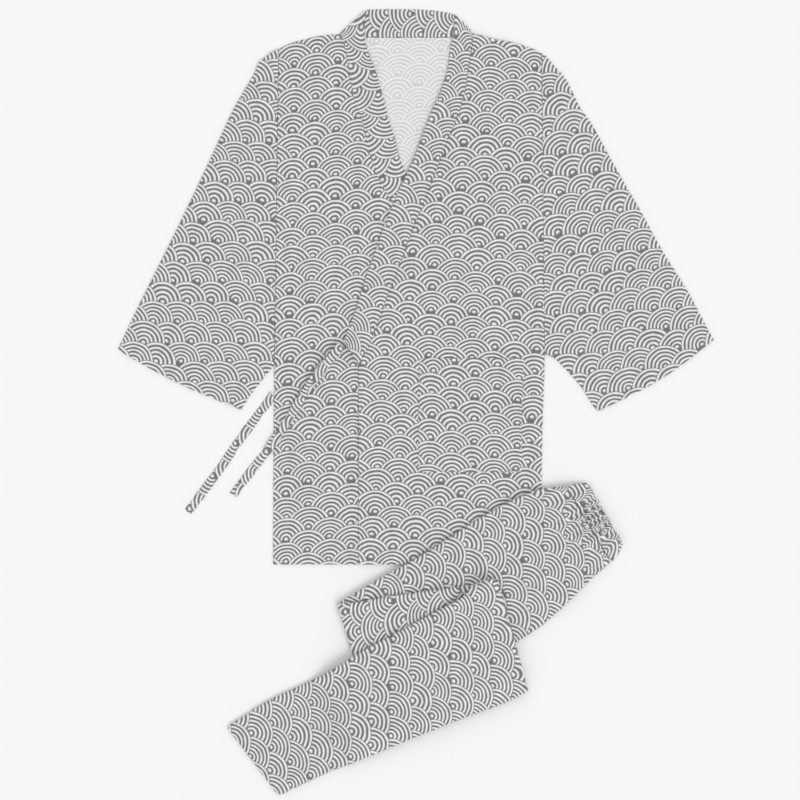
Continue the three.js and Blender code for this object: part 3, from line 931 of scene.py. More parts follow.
def dress(piece: Object, node: str) -> Object:
    """Gives a piece both faces of the cotton, hangs it under the root body and hides the CAD node that it
    stands for.

    Args:
        piece: The cloth's object.
        node: The CAD node that it replaces.

    Returns:
        The same piece.
    """
    piece.data.materials.append(COTTON.material())
    piece.data.materials.append(COTTON_BACK.material())
    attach(piece, "root")
    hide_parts(node)
    return piece


def sewn(name: str, rows: list[StitchRow]) -> Object:
    """Makes a stitched piece that rides with the garment.

    Args:
        name: The piece's name.
        rows: The rows of stitches.

    Returns:
        The new object.
    """
    made = stitched(name, rows)
    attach(made, "root")
    return made


# ---------------------------------------------------------------------------------------------
# The jacket's body
# ---------------------------------------------------------------------------------------------

RIGHT_SIDE = Table("y x", ((0, -191.5), (140, -191), (279, -190), (500, -187), (722, -184)))
LEFT_SIDE = Table("y x", ((0, 184), (113, 184.4), (213, 186.2), (292, 188.5), (500, 187), (716, 184.4)))
SHOULDERS = Table(
    "x y",
    (
        (-184, 722), (-167, 730), (-145, 736), (-127, 740), (-101, 742.5), (-60, 743),
        (60, 743), (97, 741), (117, 736), (151, 729), (173, 722), (184.4, 716),
    ),
)
UNDER_BAND = Table(
    "seam_x seam_y free_x free_y",
    (
        (68, 283, 88, 310), (50, 318, 83, 334), (28, 370, 63, 384), (8, 420, 43, 434),
        (-12, 470, 23, 485), (-31, 517, 0, 535), (-48, 548, -14, 568), (-60, 589, -22, 600),
        (-67, 619, -31, 628), (-77, 645, -39, 660), (-85, 690, -49, 693), (-90, 716, -57, 714),
        (-93, 731, -63, 735), (-96, 738, -63.5, 755),
    ),
)
OVER_BAND = Table(
    "seam_x seam_y free_x free_y",
    (
        (-72, 281, -92, 313), (-58, 305, -86, 331), (-44, 342, -76, 357), (-28, 386, -62.5, 400),
        (-13, 424, -49, 438), (3, 468, -33, 482), (22, 514, -13.5, 528), (38, 556, 5, 568),
        (54, 598, 20, 608), (67, 630, 33, 640), (75, 655, 43, 663), (81, 690, 53, 696),
        (86, 720, 57, 728), (88, 736, 61, 740),
    ),
)

BODY_CREASES = (
    Crease((-178, 700), (-118, 606), 7, 2.4, bow=6),
    Crease((-160, 716), (-104, 664), 6, 1.8, bow=-4),
    Crease((-182, 640), (-140, 540), 7, 1.5, bow=5),
    Crease((-182, 560), (-120, 470), 9, 0.9, bow=6),
    Crease((172, 712), (116, 640), 6, 2.2, bow=5),
    Crease((180, 660), (138, 560), 7, 1.6, bow=-5),
    Crease((182, 600), (120, 500), 9, 0.9, bow=-6),
    Crease((-60, 230), (-150, 150), 9, 0.7, bow=7),
    Crease((40, 420), (150, 330), 10, 0.7, bow=-8),
    Crease((-20, 60), (70, 110), 10, 0.6, bow=6),
    Crease((-170, 40), (-120, 150), 9, 0.6, bow=-6),
)
LAP_CREASES = (
    Crease((-106, 330), (-56, 262), 8, 5.0, bow=5, lean=1.3),
    Crease((-84, 250), (-66, 120), 7, 0.9, bow=3),
)


@dataclass
class JacketBody:
    """The jacket's body: back panel, under front, over front and the patch pocket.

    Args:
        front_level: Height of the under front's lower side.
        over_level: Height of the over front's lower side where it laps.
        lap_ramp: Fractions of the over front's width between which the lap steps down.
        front_edge: Where the over front's straight edge runs, below the collar band.
        under_edge: The same for the under front.
        band_start: Height up the garment from which the fronts' edges follow the band.
        side_tops: Height at which the right and the left side meet the shoulder line.
        lapel_tops: Height at which the under front's and the over front's lapel meet it.
        back_top: Height of the back's neck edge.
        widths: Widths of the back, the under front, the over front and the pocket, for their columns.
        seam_roll: How far a panel's side edges roll down.
        seam_reach: How wide that roll is.
        shoulder_roll: How far a front's top edge rolls down.
        shoulder_from: Share of the way up at which that roll begins.
        hem: Height of the hem's stitches.
        facing: How far the stitches of the over front's edge lie in from it.
        facing_ends: Between which heights those stitches run.
        pocket_columns: Fractions of the over front's width between which the pocket lies.
        pocket_rows: Heights between which it lies.
        pocket_lift: Gap between the over front's solid and the pocket's.
        pocket_settle: How far the pocket's sewn edges sink, and over what width.
        pocket_inset: How far its stitches lie in from its edges.
        mouth_hem: How far below its mouth the hem's stitches run.
        back_lay: How the back is cut from the print.
        under_lay: The same for the under front.
        over_lay: The same for the over front.
        pocket_lay: The same for the pocket.
    """

    front_level: float = CAD_CLOTH + SEAM
    over_level: float = CAD_CLOTH + SEAM + 2.1
    lap_ramp: tuple[float, float] = (0.64, 0.756)
    front_edge: float = -71.7
    under_edge: float = 71.0
    band_start: float = 281.0
    side_tops: tuple[float, float] = (722.0, 716.0)
    lapel_tops: tuple[float, float] = (731.0, 741.0)
    back_top: float = 738.2
    widths: tuple[float, float, float, float] = (375.0, 262.0, 258.0, 146.0)
    seam_roll: float = 0.45
    seam_reach: float = 2.5
    shoulder_roll: float = 0.9
    shoulder_from: float = 0.993
    hem: float = 18.0
    facing: float = 14.0
    facing_ends: tuple[float, float] = (20.0, 276.0)
    pocket_columns: tuple[float, float] = (0.323, 0.886)
    pocket_rows: tuple[float, float] = (129.5, 289.0)
    pocket_lift: float = 0.35
    pocket_settle: tuple[float, float] = (0.5, 6.0)
    pocket_inset: float = 2.4
    mouth_hem: float = 20.0
    back_lay: Lay = Lay(turn=0.0, slant=5.0, across=-15.0, up=690.0)
    under_lay: Lay = Lay(turn=-1.0, slant=5.0, across=-170.0, up=132.0)
    over_lay: Lay = Lay(turn=-4.0, slant=1.0, across=63.0, up=372.0)
    pocket_lay: Lay = Lay(turn=-2.0, slant=-3.0, across=124.0, up=250.0)

    def spread(
        self, left: Curve, right: Curve, ends: tuple[float, float], top: Curve, columns: Array
    ) -> tuple[Array, Array]:
        """Spreads a grid between two side curves, the hem and the shoulder line.

        Args:
            left: x of the left side for each height.
            right: x of the right side for each height.
            ends: Height at which the left and the right side meet the top.
            top: y of the top for each x.
            columns: Fractions across the panel.

        Returns:
            x and y of the grid.
        """
        pair = 0.0016
        up = np.linspace(0.0, 1.0, math.ceil(max(ends) / GRID) + 1)[:, None]
        up = np.concatenate([up[:1], [[pair]], up[1:-1], [[1.0 - pair]], up[-1:]])
        west, east = left(up * ends[0]), right(up * ends[1])
        x = west + (east - west) * columns
        return x, up * top(x[-1])[None, :]

    def columns(self, width: float) -> Array:
        """Even fractions across a panel, with a close pair at each edge."""
        even, pair = np.linspace(0.0, 1.0, math.ceil(width / GRID) + 1), EDGE_PAIR / width
        return np.concatenate([[0.0, pair], even[1:-1], [1.0 - pair, 1.0]])

    def over_left(self, y: Array) -> Array:
        """x of the over front's left edge: straight, then along the band's seam."""
        seam = OVER_BAND.at("seam_y", y, "seam_x") + SEAM
        return np.where(y < self.band_start, self.front_edge, seam)

    def under_right(self, y: Array) -> Array:
        """x of the under front's right edge."""
        seam = UNDER_BAND.at("seam_y", y, "seam_x") - SEAM
        return np.where(y < self.band_start, self.under_edge, seam)

    def over_height(self, fraction: Array) -> Array:
        """Height of the over front's middle, stepping down past the under front's edge.

        Args:
            fraction: Fractions of its width, from its free edge.

        Returns:
            The height at each of them.
        """
        low, high = self.lap_ramp
        drop = smooth((fraction - low) / (high - low))
        return self.over_level - drop * (self.over_level - self.front_level) + CAD_CLOTH / 2

    def surface(self, x: Array, y: Array) -> Array:
        """Height of the over front's upper side.

        Args:
            x: Places in plan, across.
            y: Places in plan, up the garment.

        Returns:
            The height at each place.
        """
        left, right = self.over_left(y), LEFT_SIDE.at("y", y, "x")
        creased = lifted(BODY_CREASES + LAP_CREASES, x, y)
        return self.over_height((x - left) / (right - left)) + creased + CLOTH / 2

    def rolled(self, x: Array, y: Array, height: Array) -> Array:
        """Rolls a front's sides and top down a little, so that a seam reads as a shallow groove.

        Args:
            x: The grid's places across.
            y: The grid's places up the garment.
            height: Its heights.

        Returns:
            The lowered heights.
        """
        ends = [np.hypot(x - x[:, :1], y - y[:, :1]), np.hypot(x - x[:, -1:], y - y[:, -1:])]
        edge = np.minimum(*ends)
        height = height - self.seam_roll * (1.0 - smooth(edge / self.seam_reach))
        top = (y / y[-1:] - self.shoulder_from) / (1.0 - self.shoulder_from)
        return height - self.shoulder_roll * smooth(top)

    def back(self) -> Object:
        """The back panel, its printed side down.

        Returns:
            The piece.
        """
        x, y = self.spread(
            lambda at: RIGHT_SIDE.at("y", at, "x"),
            lambda at: LEFT_SIDE.at("y", at, "x"),
            self.side_tops,
            lambda at: np.minimum(SHOULDERS.at("x", at, "y"), self.back_top),
            self.columns(self.widths[0]),
        )
        z = CLOTH / 2 + 0.1 + lifted(BODY_CREASES, x, y)
        piece = Cloth(np.stack([x, y, z], -1), self.back_lay.cut(x, y), Face.REVERSE).build("back_panel")
        dress(piece, "jacket_back")
        return piece

    def under_front(self) -> Object:
        """The wearer's right front, which lies under the other.

        Returns:
            The piece.
        """
        x, y = self.spread(
            lambda at: RIGHT_SIDE.at("y", at, "x"),
            self.under_right,
            (self.side_tops[0], self.lapel_tops[0]),
            lambda at: SHOULDERS.at("x", at, "y"),
            self.columns(self.widths[1]),
        )
        z = np.full_like(x, self.front_level + CAD_CLOTH / 2) + lifted(BODY_CREASES, x, y)
        z = self.rolled(x, y, z)
        piece = Cloth(np.stack([x, y, z], -1), self.under_lay.cut(x, y)).build("under_front")
        dress(piece, "jacket_right_front")
        hem = sewn("under_front_hem_stitches", [self.hem_row(x, y, z)])
        return piece

    def hem_row(self, x: Array, y: Array, z: Array) -> StitchRow:
        """A row of stitches a hem's depth above a panel's lower edge.

        Args:
            x: The panel's places across.
            y: The panel's places up the garment.
            z: Its heights.

        Returns:
            The row.
        """
        row = int(np.argmin(np.abs(y[:, 0] - self.hem)))
        return StitchRow(np.stack([x[row], y[row], z[row] + CLOTH / 2], axis=-1)[2:-2])

    def over_front(self) -> Object:
        """The wearer's left front, which laps over the other.

        Returns:
            The piece.
        """
        columns = self.columns(self.widths[2])
        x, y = self.spread(
            self.over_left,
            lambda at: LEFT_SIDE.at("y", at, "x"),
            (self.lapel_tops[1], self.side_tops[1]),
            lambda at: SHOULDERS.at("x", at, "y"),
            columns,
        )
        z = self.over_height(columns)[None, :] + lifted(BODY_CREASES + LAP_CREASES, x, y)
        z = self.rolled(x, y, z)
        piece = Cloth(np.stack([x, y, z], -1), self.over_lay.cut(x, y)).build("over_front")
        dress(piece, "jacket_left_front")
        edge_y = np.linspace(*self.facing_ends, 90)
        edge_x = self.over_left(edge_y) + self.facing
        edge = np.stack([edge_x, edge_y, self.surface(edge_x, edge_y)], axis=-1)
        hem = sewn("over_front_hem_stitches", [self.hem_row(x, y, z), StitchRow(edge)])
        return piece

    def pocket(self) -> Object:
        """The patch pocket, sewn on the over front at its sides and bottom.

        Returns:
            The piece.
        """
        low, high = self.pocket_rows
        between = np.linspace(low + GRID, high - GRID, 38)
        up = np.concatenate([[low, low + EDGE_PAIR], between, [high - EDGE_PAIR, high]])[:, None]
        left, right = self.over_left(up), LEFT_SIDE.at("y", up, "x")
        columns = self.columns(self.widths[3])
        fraction = self.pocket_columns[0] + (self.pocket_columns[1] - self.pocket_columns[0]) * columns
        x = left + (right - left) * fraction
        y = np.broadcast_to(up, x.shape)
        edge = np.minimum(np.minimum(x - x[:, :1], x[:, -1:] - x), y - low)
        settle = self.pocket_settle[0] * (1.0 - smooth(edge / self.pocket_settle[1]))
        z = self.surface(x, y) + CAD_CLOTH / 2 + self.pocket_lift - settle
        piece = Cloth(np.stack([x, y, z], -1), self.pocket_lay.cut(x, y)).build("pocket")
        dress(piece, "jacket_pocket")
        inset, count = self.pocket_inset, 60

        def on_pocket(at_x: Array, at_y: Array) -> Array:
            """Points of a thread a little sunk in the pocket's upper side."""
            height = self.surface(at_x, at_y) + CAD_CLOTH / 2 + self.pocket_lift + CLOTH / 2 - 0.15
            return np.stack([at_x, at_y, height], axis=-1)

        side_y = np.linspace(high - 3.0, low + inset, count)
        west, east = x[0, 0] + inset, x[0, -1] - inset
        across = np.linspace(west, east, count)
        around = [
            on_pocket(np.full(count, west), side_y),
            on_pocket(across, np.full(count, low + inset)),
            on_pocket(np.full(count, east), side_y[::-1]),
        ]
        mouth = on_pocket(across, np.full(count, high - self.mouth_hem))
        seam = sewn("pocket_stitches", [StitchRow(np.concatenate(around)), StitchRow(mouth)])
        return piece

    def build(self) -> list[Object]:
        """Builds the four panels."""
        return [self.back(), self.under_front(), self.over_front(), self.pocket()]


# ---------------------------------------------------------------------------------------------
# Collar band and ties
# ---------------------------------------------------------------------------------------------


@dataclass
class CollarBand:
    """The double collar band: up the under front, round the back of the neck, down the over front.

    Args:
        thick: Thickness of the two layers pressed together.
        under: Height of the band's middle on the under front.
        over: The same on the over front.
        corner: The same where it turns over to the back neck.
        neck: The same behind the neck.
        width: Width of the finished band.
        scale_in: How far the print's scales are centred from the free edge.
        spacing: Distance between cross cuts.
        turn_steps: Cross cuts in each turning over.
        corner_from: Share of the way along a lapel at which it starts for the corner's height.
        corner_over: Share of the way over which it gets there.
        crown: How much fuller the band is along its middle.
        stitch_in: Share of the width between the seam and the edge stitches.
        right_turn: Seam and free point where it turns over at the wearer's right, and the way out.
        left_turn: The same at the left.
        neck_rows: Seam and free edge behind the neck, from right to left.
    """

    thick: float = 1.7
    under: float = 2.4
    over: float = 4.5
    corner: float = 3.0
    neck: float = 0.9
    width: float = 38.0
    scale_in: float = 6.5
    spacing: float = 3.5
    turn_steps: int = 9
    corner_from: float = 0.8
    corner_over: float = 0.12
    crown: float = 0.22
    stitch_in: float = 0.07
    right_turn: tuple[Row, Row] = ((-97.0, 742.0, -62.4, 774.0), (-0.68, 0.73))
    left_turn: tuple[Row, Row] = ((88.5, 742.5, 62.2, 769.5), (0.71, 0.7))
    neck_rows: Table = Table(
        "seam_x seam_y free_x free_y",
        (
            (-97, 742, -62.4, 774), (-80, 740, -62, 775.5), (-62, 738.5, -56, 777), (-40, 738.5, -40, 777.5),
            (0, 738.5, 0, 777.5), (34, 738.5, 34, 775.5), (58, 738.5, 56, 772), (74, 740, 61.5, 770),
            (88.5, 742.5, 62.2, 769.5),
        ),
    )

    def stretch(self, rows: Table, levels: Curve, facing: float) -> tuple[Array, Array]:
        """One flat stretch of the band.

        Args:
            rows: Seam and free edge along it.
            levels: Height of its middle for each share of the way along.
            facing: 1 where its outer face looks up and -1 where it looks down.

        Returns:
            One row of 6 numbers for each cross cut, its seam point and its free point, and the
            directions of the outer face.
        """
        ends, along = rows.path("seam_x seam_y free_x free_y", self.spacing)
        level = levels(along / along[-1])
        edges = np.stack([ends[:, 0], ends[:, 1], level, ends[:, 2], ends[:, 3], level], axis=1)
        return edges, np.tile([0.0, 0.0, facing], (len(edges), 1))

    def turn(self, which: tuple[Row, Row]) -> tuple[Array, Array]:
        """One turning over of the band, from face up on a front to face down behind the neck.

        Args:
            which: Seam and free point of the turn, and the way out.

        Returns:
            The same as for a flat stretch.
        """
        (seam_x, seam_y, free_x, free_y), out = which
        ahead = np.array([*out, 0.0]) / math.hypot(*out)
        radius = (self.corner - self.neck) / 2
        angle = np.linspace(0.0, math.pi, self.turn_steps + 2)[1:-1, None]
        shift = ahead * radius * np.sin(angle)
        level = self.corner - radius * (1.0 - np.cos(angle))
        seam = np.array([seam_x, seam_y, 0.0]) + shift + level * UP
        free = np.array([free_x, free_y, 0.0]) + shift + level * UP
        return np.concatenate([seam, free], axis=1), ahead * np.sin(angle) + np.cos(angle) * UP

    def lapel(self, rows: Table, level: float) -> tuple[Array, Array]:
        """The stretch on one front, whose upper end comes to the corner's height.

        Args:
            rows: Seam and free edge along it.
            level: Height of its middle below that.

        Returns:
            The same as for a flat stretch.
        """
        rise = self.corner - level
        return self.stretch(
            rows, lambda s: level + rise * smooth((s - self.corner_from) / self.corner_over), 1.0
        )

    def build(self) -> list[Object]:
        """Builds the band and its row of edge stitches.

        Returns:
            The band.
        """
        under, over = self.lapel(UNDER_BAND, self.under), self.lapel(OVER_BAND, self.over)
        neck = self.stretch(self.neck_rows, lambda s: np.full_like(s, self.neck), -1.0)
        right, left = self.turn(self.right_turn), self.turn(self.left_turn)
        edges = np.concatenate([under[0], right[0], neck[0], left[0][::-1], over[0][::-1]])
        facing = np.concatenate([under[1], right[1], neck[1], left[1][::-1], over[1][::-1]])
        across = np.concatenate([[0.0, 0.03], np.linspace(0.09, 0.91, 9), [0.97, 1.0]])[None, :, None]
        points = edges[:, None, :3] * (1.0 - across) + edges[:, None, 3:] * across
        shown = np.maximum(facing[:, None, 2:], 0.0)
        creased = lifted(BODY_CREASES + LAP_CREASES, points[..., 0], points[..., 1])[..., None]
        points = points + shown * (self.crown * np.sin(math.pi * across) + creased) * UP
        middle = points[:, points.shape[1] // 2]
        along = np.concatenate([[0.0], np.cumsum(np.linalg.norm(np.diff(middle, axis=0), axis=1))])
        from_free = self.width * (1.0 - across[0, :, 0]) - self.scale_in
        cut = np.stack(np.broadcast_arrays(from_free[None, :], -along[:, None]), -1)
        normals = np.broadcast_to(facing[:, None, :], points.shape)
        cloth = Cloth(points, cut, thick=self.thick, normals=normals)
        piece = dress(cloth.build("collar_band"), "jacket_collar_band")
        piece.data.materials[1] = COTTON.material()
        line = edges[:, :3] * (1.0 - self.stitch_in) + edges[:, 3:] * self.stitch_in
        line = line + facing * (self.thick / 2 + 0.05)
        first, last = slice(len(under[0])), slice(-len(over[0]), None)
        rows = [StitchRow(line[first], facing[first]), StitchRow(line[last], facing[last])]
        seam = sewn("collar_band_stitches", rows)
        return [piece]


@dataclass
class Tie:
    """A narrow tie: a folded strip of the cotton, pressed flat.

    Args:
        name: The piece's name.
        node: The CAD node it stands for.
        route: Its middle line, with the height of its underside and the direction of each cross cut.
        lay: How it is cut from the print.
        rests_on: What it lies on; not used.
        width: Its width.
        thick: Its thickness.
        lift: How high its sewn end stands off at one edge.
        lift_ends: Between which lengths along the tie that lift dies away.
        curl: How far its edges curl up here and there.
        spacing: Distance between cross cuts.
    """

    name: str
    node: str
    route: Table
    lay: Lay
    rests_on: tuple[str, ...]
    width: float = 12.5
    thick: float = 1.3
    lift: float = 0.0
    lift_ends: tuple[float, float] = (30.0, 150.0)
    curl: float = 0.5
    spacing: float = 2.5

    def pinch(self, along: Array) -> Array:
        """Share of the full width left where the tie is pulled a little narrow."""
        return 1.0 - 0.07 * np.sin(along / 17.0) ** 2 - 0.05 * np.sin(along / 7.3 + 1.0) ** 2

    def build(self) -> list[Object]:
        """Builds the tie with the stitches along its edge.

        Returns:
            The tie.
        """
        line, along = self.route.path("x y z cut", self.spacing)
        angle = np.radians(line[:, 3])
        aside = np.stack([np.cos(angle), np.sin(angle), np.zeros_like(angle)], axis=1)[:, None, :]
        across = np.array([-0.5, -0.42, -0.25, 0.0, 0.25, 0.42, 0.5])
        wide = across[None, :] * self.pinch(along)[:, None]
        points = line[:, None, :3] + aside * wide[..., None] * self.width
        curl = self.curl * np.sin(along[:, None] / 23.0 + 4.0 * across) ** 2
        start, end = self.lift_ends
        curl = curl + self.lift * (0.5 - across) * (1.0 - smooth((along[:, None] - start) / (end - start)))
        points[..., 2] += self.thick / 2 + curl
        cut = self.lay.cut(points[..., 0], points[..., 1])
        piece = dress(Cloth(points, cut, thick=self.thick).build(self.name), self.node)
        piece.data.materials[1] = COTTON.material()
        seam = sewn(f"{self.name}_stitches", [StitchRow(points[:, 5] + UP * self.thick / 2)])
        return [piece]


FRONT_TIE = Tie(
    "front_tie",
    "jacket_front_tie",
    Table(
        "x y z cut",
        (
            (-96, 306, 3, -35), (-117, 281, 3, -37), (-137.8, 254, 3, -35), (-155, 228, 3, -33),
            (-170, 202.5, 3, -33), (-192, 171, 3, -36), (-203, 155, 0.6, -36), (-209, 148, 0, -37),
            (-229, 122, 0, -38), (-247.8, 97.3, 0, -36),
        ),
    ),
    lay=Lay(turn=100.0, across=-150.0, up=232.0),
    lift=7.0,
    rests_on=("under_front",),
)
SIDE_TIE = Tie(
    "side_tie",
    "jacket_side_tie",
    Table(
        "x y z cut",
        (
            (-191.8, 238, 0, -60), (-200, 226, 0, -42), (-213, 209, 0, -38), (-240, 172, 0, -36),
            (-266, 134, 0, -35), (-289, 103, 0, -37), (-310.8, 73.5, 0, -36),
        ),
    ),
    lay=Lay(turn=112.0, across=-246.0, up=171.0),
    rests_on=("studio_floor",),
)


# ---------------------------------------------------------------------------------------------
# Sleeves
# ---------------------------------------------------------------------------------------------


@dataclass
class Sleeve:
    """A wide open sleeve: a flattened tube from the armhole to the cuff.

    Args:
        name: The piece's name.
        node: The CAD node it stands for.
        stations: Upper fold and underarm seam from the armhole to the cuff, with the bow of each
            section and the height of the pucker at its shoulder.
        lay: How the sleeve is cut from the print.
        creases: Soft ridges of its upper layer, in plan.
        flat: Width and length of its cut in metres, unfolded along the upper fold; not used.
        area: Area of that cut in square metres; not used.
        floor: Height of the lower layer's middle.
        roof: The same of the upper layer.
        pucker_reach: Share of the width over which the shoulder's pucker dies away.
        hem: How far from the cuff its stitches run.
        columns: Points across each layer.
        end_columns: Points round the underarm seam on each layer.
    """

    name: str
    node: str
    stations: Table
    lay: Lay
    creases: tuple[Crease, ...]
    flat: tuple[float, float]
    area: float
    floor: float = 0.45
    roof: float = 2.55
    pucker_reach: float = 0.3
    hem: float = 16.0
    columns: int = 108
    end_columns: int = 3

    def loop(self, width: Array) -> tuple[Array, Array, Array]:
        """Goes once round the tube from the underarm seam over the top.

        Args:
            width: Width of each section.

        Returns:
            Fraction across, height, and 1 on the upper or -1 on the lower layer, for each point.
        """
        radius = (self.roof - self.floor) / 2
        trim = radius / width[:, None]
        flat, few = np.linspace(0.0, 1.0, self.columns), self.end_columns
        start = np.linspace(0.0, math.pi / 2, few + 1)[:-1]
        over = np.linspace(math.pi / 2, -math.pi / 2, 2 * few + 1)[1:-1]
        ones = np.ones((len(width), 1))
        across = [
            1.0 - trim * (1.0 - np.cos(start)),
            trim + (1.0 - 2.0 * trim) * flat[::-1],
            trim * (1.0 - np.cos(over)),
            trim + (1.0 - 2.0 * trim) * flat,
            1.0 - trim * (1.0 - np.cos(start[::-1])),
        ]
        level, end = np.ones(self.columns), np.ones(few)
        swing = [np.sin(start), level, np.sin(over), -level, -np.sin(start[::-1])]
        layer = [end, level, np.where(over > -0.01, 1.0, -1.0), -level, -end]
        return np.concatenate(across, axis=1), ones * np.concatenate(swing), ones * np.concatenate(layer)

    def build(self) -> list[Object]:
        """Builds the sleeve with its cuff stitches.

        Returns:
            The sleeve.
        """
        rows, _ = self.stations.path("top_x top_y under_x under_y bow ridge", GRID)
        near = 0.3
        second = rows[:1] * (1.0 - near) + rows[1:2] * near
        second_last = rows[-2:-1] * near + rows[-1:] * (1.0 - near)
        rows = np.concatenate([rows[:1], second, rows[1:-1], second_last, rows[-1:]])
        top, under = rows[:, None, 0:2], rows[:, None, 2:4]
        chord = under - top
        width = np.linalg.norm(chord, axis=-1)[:, 0]
        across, swing, layer = self.loop(width)
        ahead = unit(np.stack([chord[..., 1], -chord[..., 0]], axis=-1))
        ahead = ahead * np.sign(ahead[..., :1] * top[..., :1])
        bow = rows[:, 4:5] * np.sin(math.pi * across)
        plan = top + chord * across[..., None] + ahead * bow[..., None]
        middle, radius = (self.roof + self.floor) / 2, (self.roof - self.floor) / 2
        x, y = plan[..., 0], plan[..., 1]
        pucker = rows[:, 5:6] * (1.0 - smooth(across / self.pucker_reach))
        upper = np.where(swing > 0.0, swing, 0.0)
        z = middle + radius * swing + upper * (pucker + lifted(self.creases, x, y))
        grid = np.stack([x, y, z], axis=-1)
        fold = unit(np.gradient(rows[:, 0:2], axis=0))[:, None, :]
        reach = plan - top
        mirrored = 2.0 * (reach * fold).sum(-1, keepdims=True) * fold - reach
        unrolled = top + np.where(layer[..., None] > 0, reach, mirrored)
        cut = self.lay.cut(unrolled[..., 0], unrolled[..., 1])
        piece = Cloth(grid, cut, round=True).build(self.name)
        dress(piece, self.node)
        upper_side = slice(self.end_columns, self.end_columns + self.columns)
        seam = grid[-1 - round(self.hem / GRID), upper_side] + UP * CLOTH / 2
        stitches = sewn(f"{self.name}_cuff_stitches", [StitchRow(seam)])
        return [piece]


RIGHT_SLEEVE = Sleeve(
    "right_sleeve",
    "jacket_right_sleeve",
    Table(
        "top_x top_y under_x under_y bow ridge",
        (
            (-184.3, 722, -190.3, 279, 0, 0), (-194, 716, -192, 277, 0, 2.4),
            (-203, 710, -193.5, 275.5, 0, 0), (-210, 704, -195, 274, 0, 2.0),
            (-218.4, 686.7, -197, 271, 0, 0), (-232, 663, -200, 267.5, 0, 0),
            (-246.4, 637.7, -203.5, 263.5, 0, 0), (-272, 583, -209, 256.5, 1, 0),
            (-299.6, 524.3, -214.5, 249.5, 2, 0), (-327, 467.5, -219.5, 243, 3, 0),
            (-355, 411, -224.5, 236.5, 4, 0), (-383.6, 353.5, -229.5, 229, 5, 0),
            (-408.8, 300.3, -237, 217, 5, 0),
        ),
    ),
    Lay(turn=-27.0, slant=0.0, across=-261.0, up=398.0),
    (
        Crease((-204, 690), (-262, 500), 8, 2.2, bow=8),
        Crease((-200, 640), (-232, 440), 8, 1.4, bow=-6),
        Crease((-330, 440), (-300, 330), 10, 0.5, bow=6),
        Crease((-200, 330), (-240, 250), 6, 0.5, bow=3),
    ),
    flat=(0.406, 0.478),
    area=0.122,
)
LEFT_SLEEVE = Sleeve(
    "left_sleeve",
    "jacket_left_sleeve",
    Table(
        "top_x top_y under_x under_y bow ridge",
        (
            (184.7, 716, 188.8, 292, 0, 0), (192, 709, 193, 292, 0, 2.2), (202, 698, 198, 290.5, 0, 0),
            (210, 689, 201, 289.3, 0, 2.4), (217, 681, 203.5, 288, 0, 0), (236, 643.3, 209, 283, 0, 0),
            (254.8, 615.3, 214.5, 277.5, 0, 0), (285.6, 559.3, 222, 270, 1, 0),
            (317.8, 503.3, 230, 261, 3, 0), (354.2, 437.5, 238, 251.5, 5, 0),
            (389.2, 381.5, 247, 238, 7, 0), (407, 348, 254.5, 226, 8, 0), (425, 314.3, 263, 215, 8, 0),
        ),
    ),
    Lay(turn=31.0, slant=0.0, across=294.0, up=444.0),
    (
        Crease((206, 680), (256, 500), 8, 2.2, bow=-8),
        Crease((200, 620), (230, 420), 8, 1.4, bow=6),
        Crease((330, 450), (300, 330), 10, 0.5, bow=-6),
        Crease((200, 340), (250, 260), 6, 0.5, bow=-3),
    ),
    flat=(0.416, 0.48),
    area=0.122,
)


# ---------------------------------------------------------------------------------------------
# Trousers
# ---------------------------------------------------------------------------------------------


def heading(degrees: float) -> Array:
    """The unit vector in plan that points in a direction."""
    return np.array([math.cos(math.radians(degrees)), math.sin(math.radians(degrees))])


@dataclass(frozen=True)
class Bend:
    """A fold of the strip of trousers.

    Args:
        point: A point of the line along which it starts.
        ahead: The direction past that line.
        arc: Length of strip taken up by the fold.
        gap: Room between one run and the next.
        stack: Height of the plies laid together.
    """

    point: Array
    ahead: Array
    arc: float
    gap: float
    stack: float

    def past(self, place: Array) -> Array:
        """How far each place in plan lies past the line."""
        return (place - self.point) @ self.ahead

    def turned(self, place: Array) -> Array:
        """The places laid back over the fold."""
        return place + self.ahead * (self.arc - 2.0 * self.past(place))[..., None]

    def bent(self, place: Array, height: Array, distance: Array, way: float) -> tuple[Array, Array, Array]:
        """Bends the cloth past the line.

        Args:
            place: Places in plan.
            height: Heights above the strip's underside.
            distance: How far past the line each place lies on the flat strip.
            way: 1 to fold upwards and -1 to fold downwards.

        Returns:
            The new places and heights, and how far each has turned, from 0 to 1.
        """
        turn = np.clip(distance / self.arc, 0.0, 1.0)
        axis = self.stack + self.gap / 2 if way > 0 else -self.gap / 2
        radius = axis - height
        angle = math.pi * turn
        foot = place - self.ahead * self.past(place)[..., None]
        over = foot + self.ahead * (np.abs(radius) * np.sin(angle))[..., None]
        level = axis - radius * np.cos(angle)
        done = turn >= 1.0
        placed = np.where(done[..., None], self.turned(place), over)
        placed = np.where((distance > 0.0)[..., None], placed, place)
        return placed, np.where(distance > 0.0, level, height), turn


# Ridges of the third run alone
PUFFS = (
    Crease((136, -8), (26, -82), 7, 6.0, bow=-3, lean=2.2),
    Crease((128, -26), (98, -60), 7, 1.6, bow=3, lean=1.6),
)
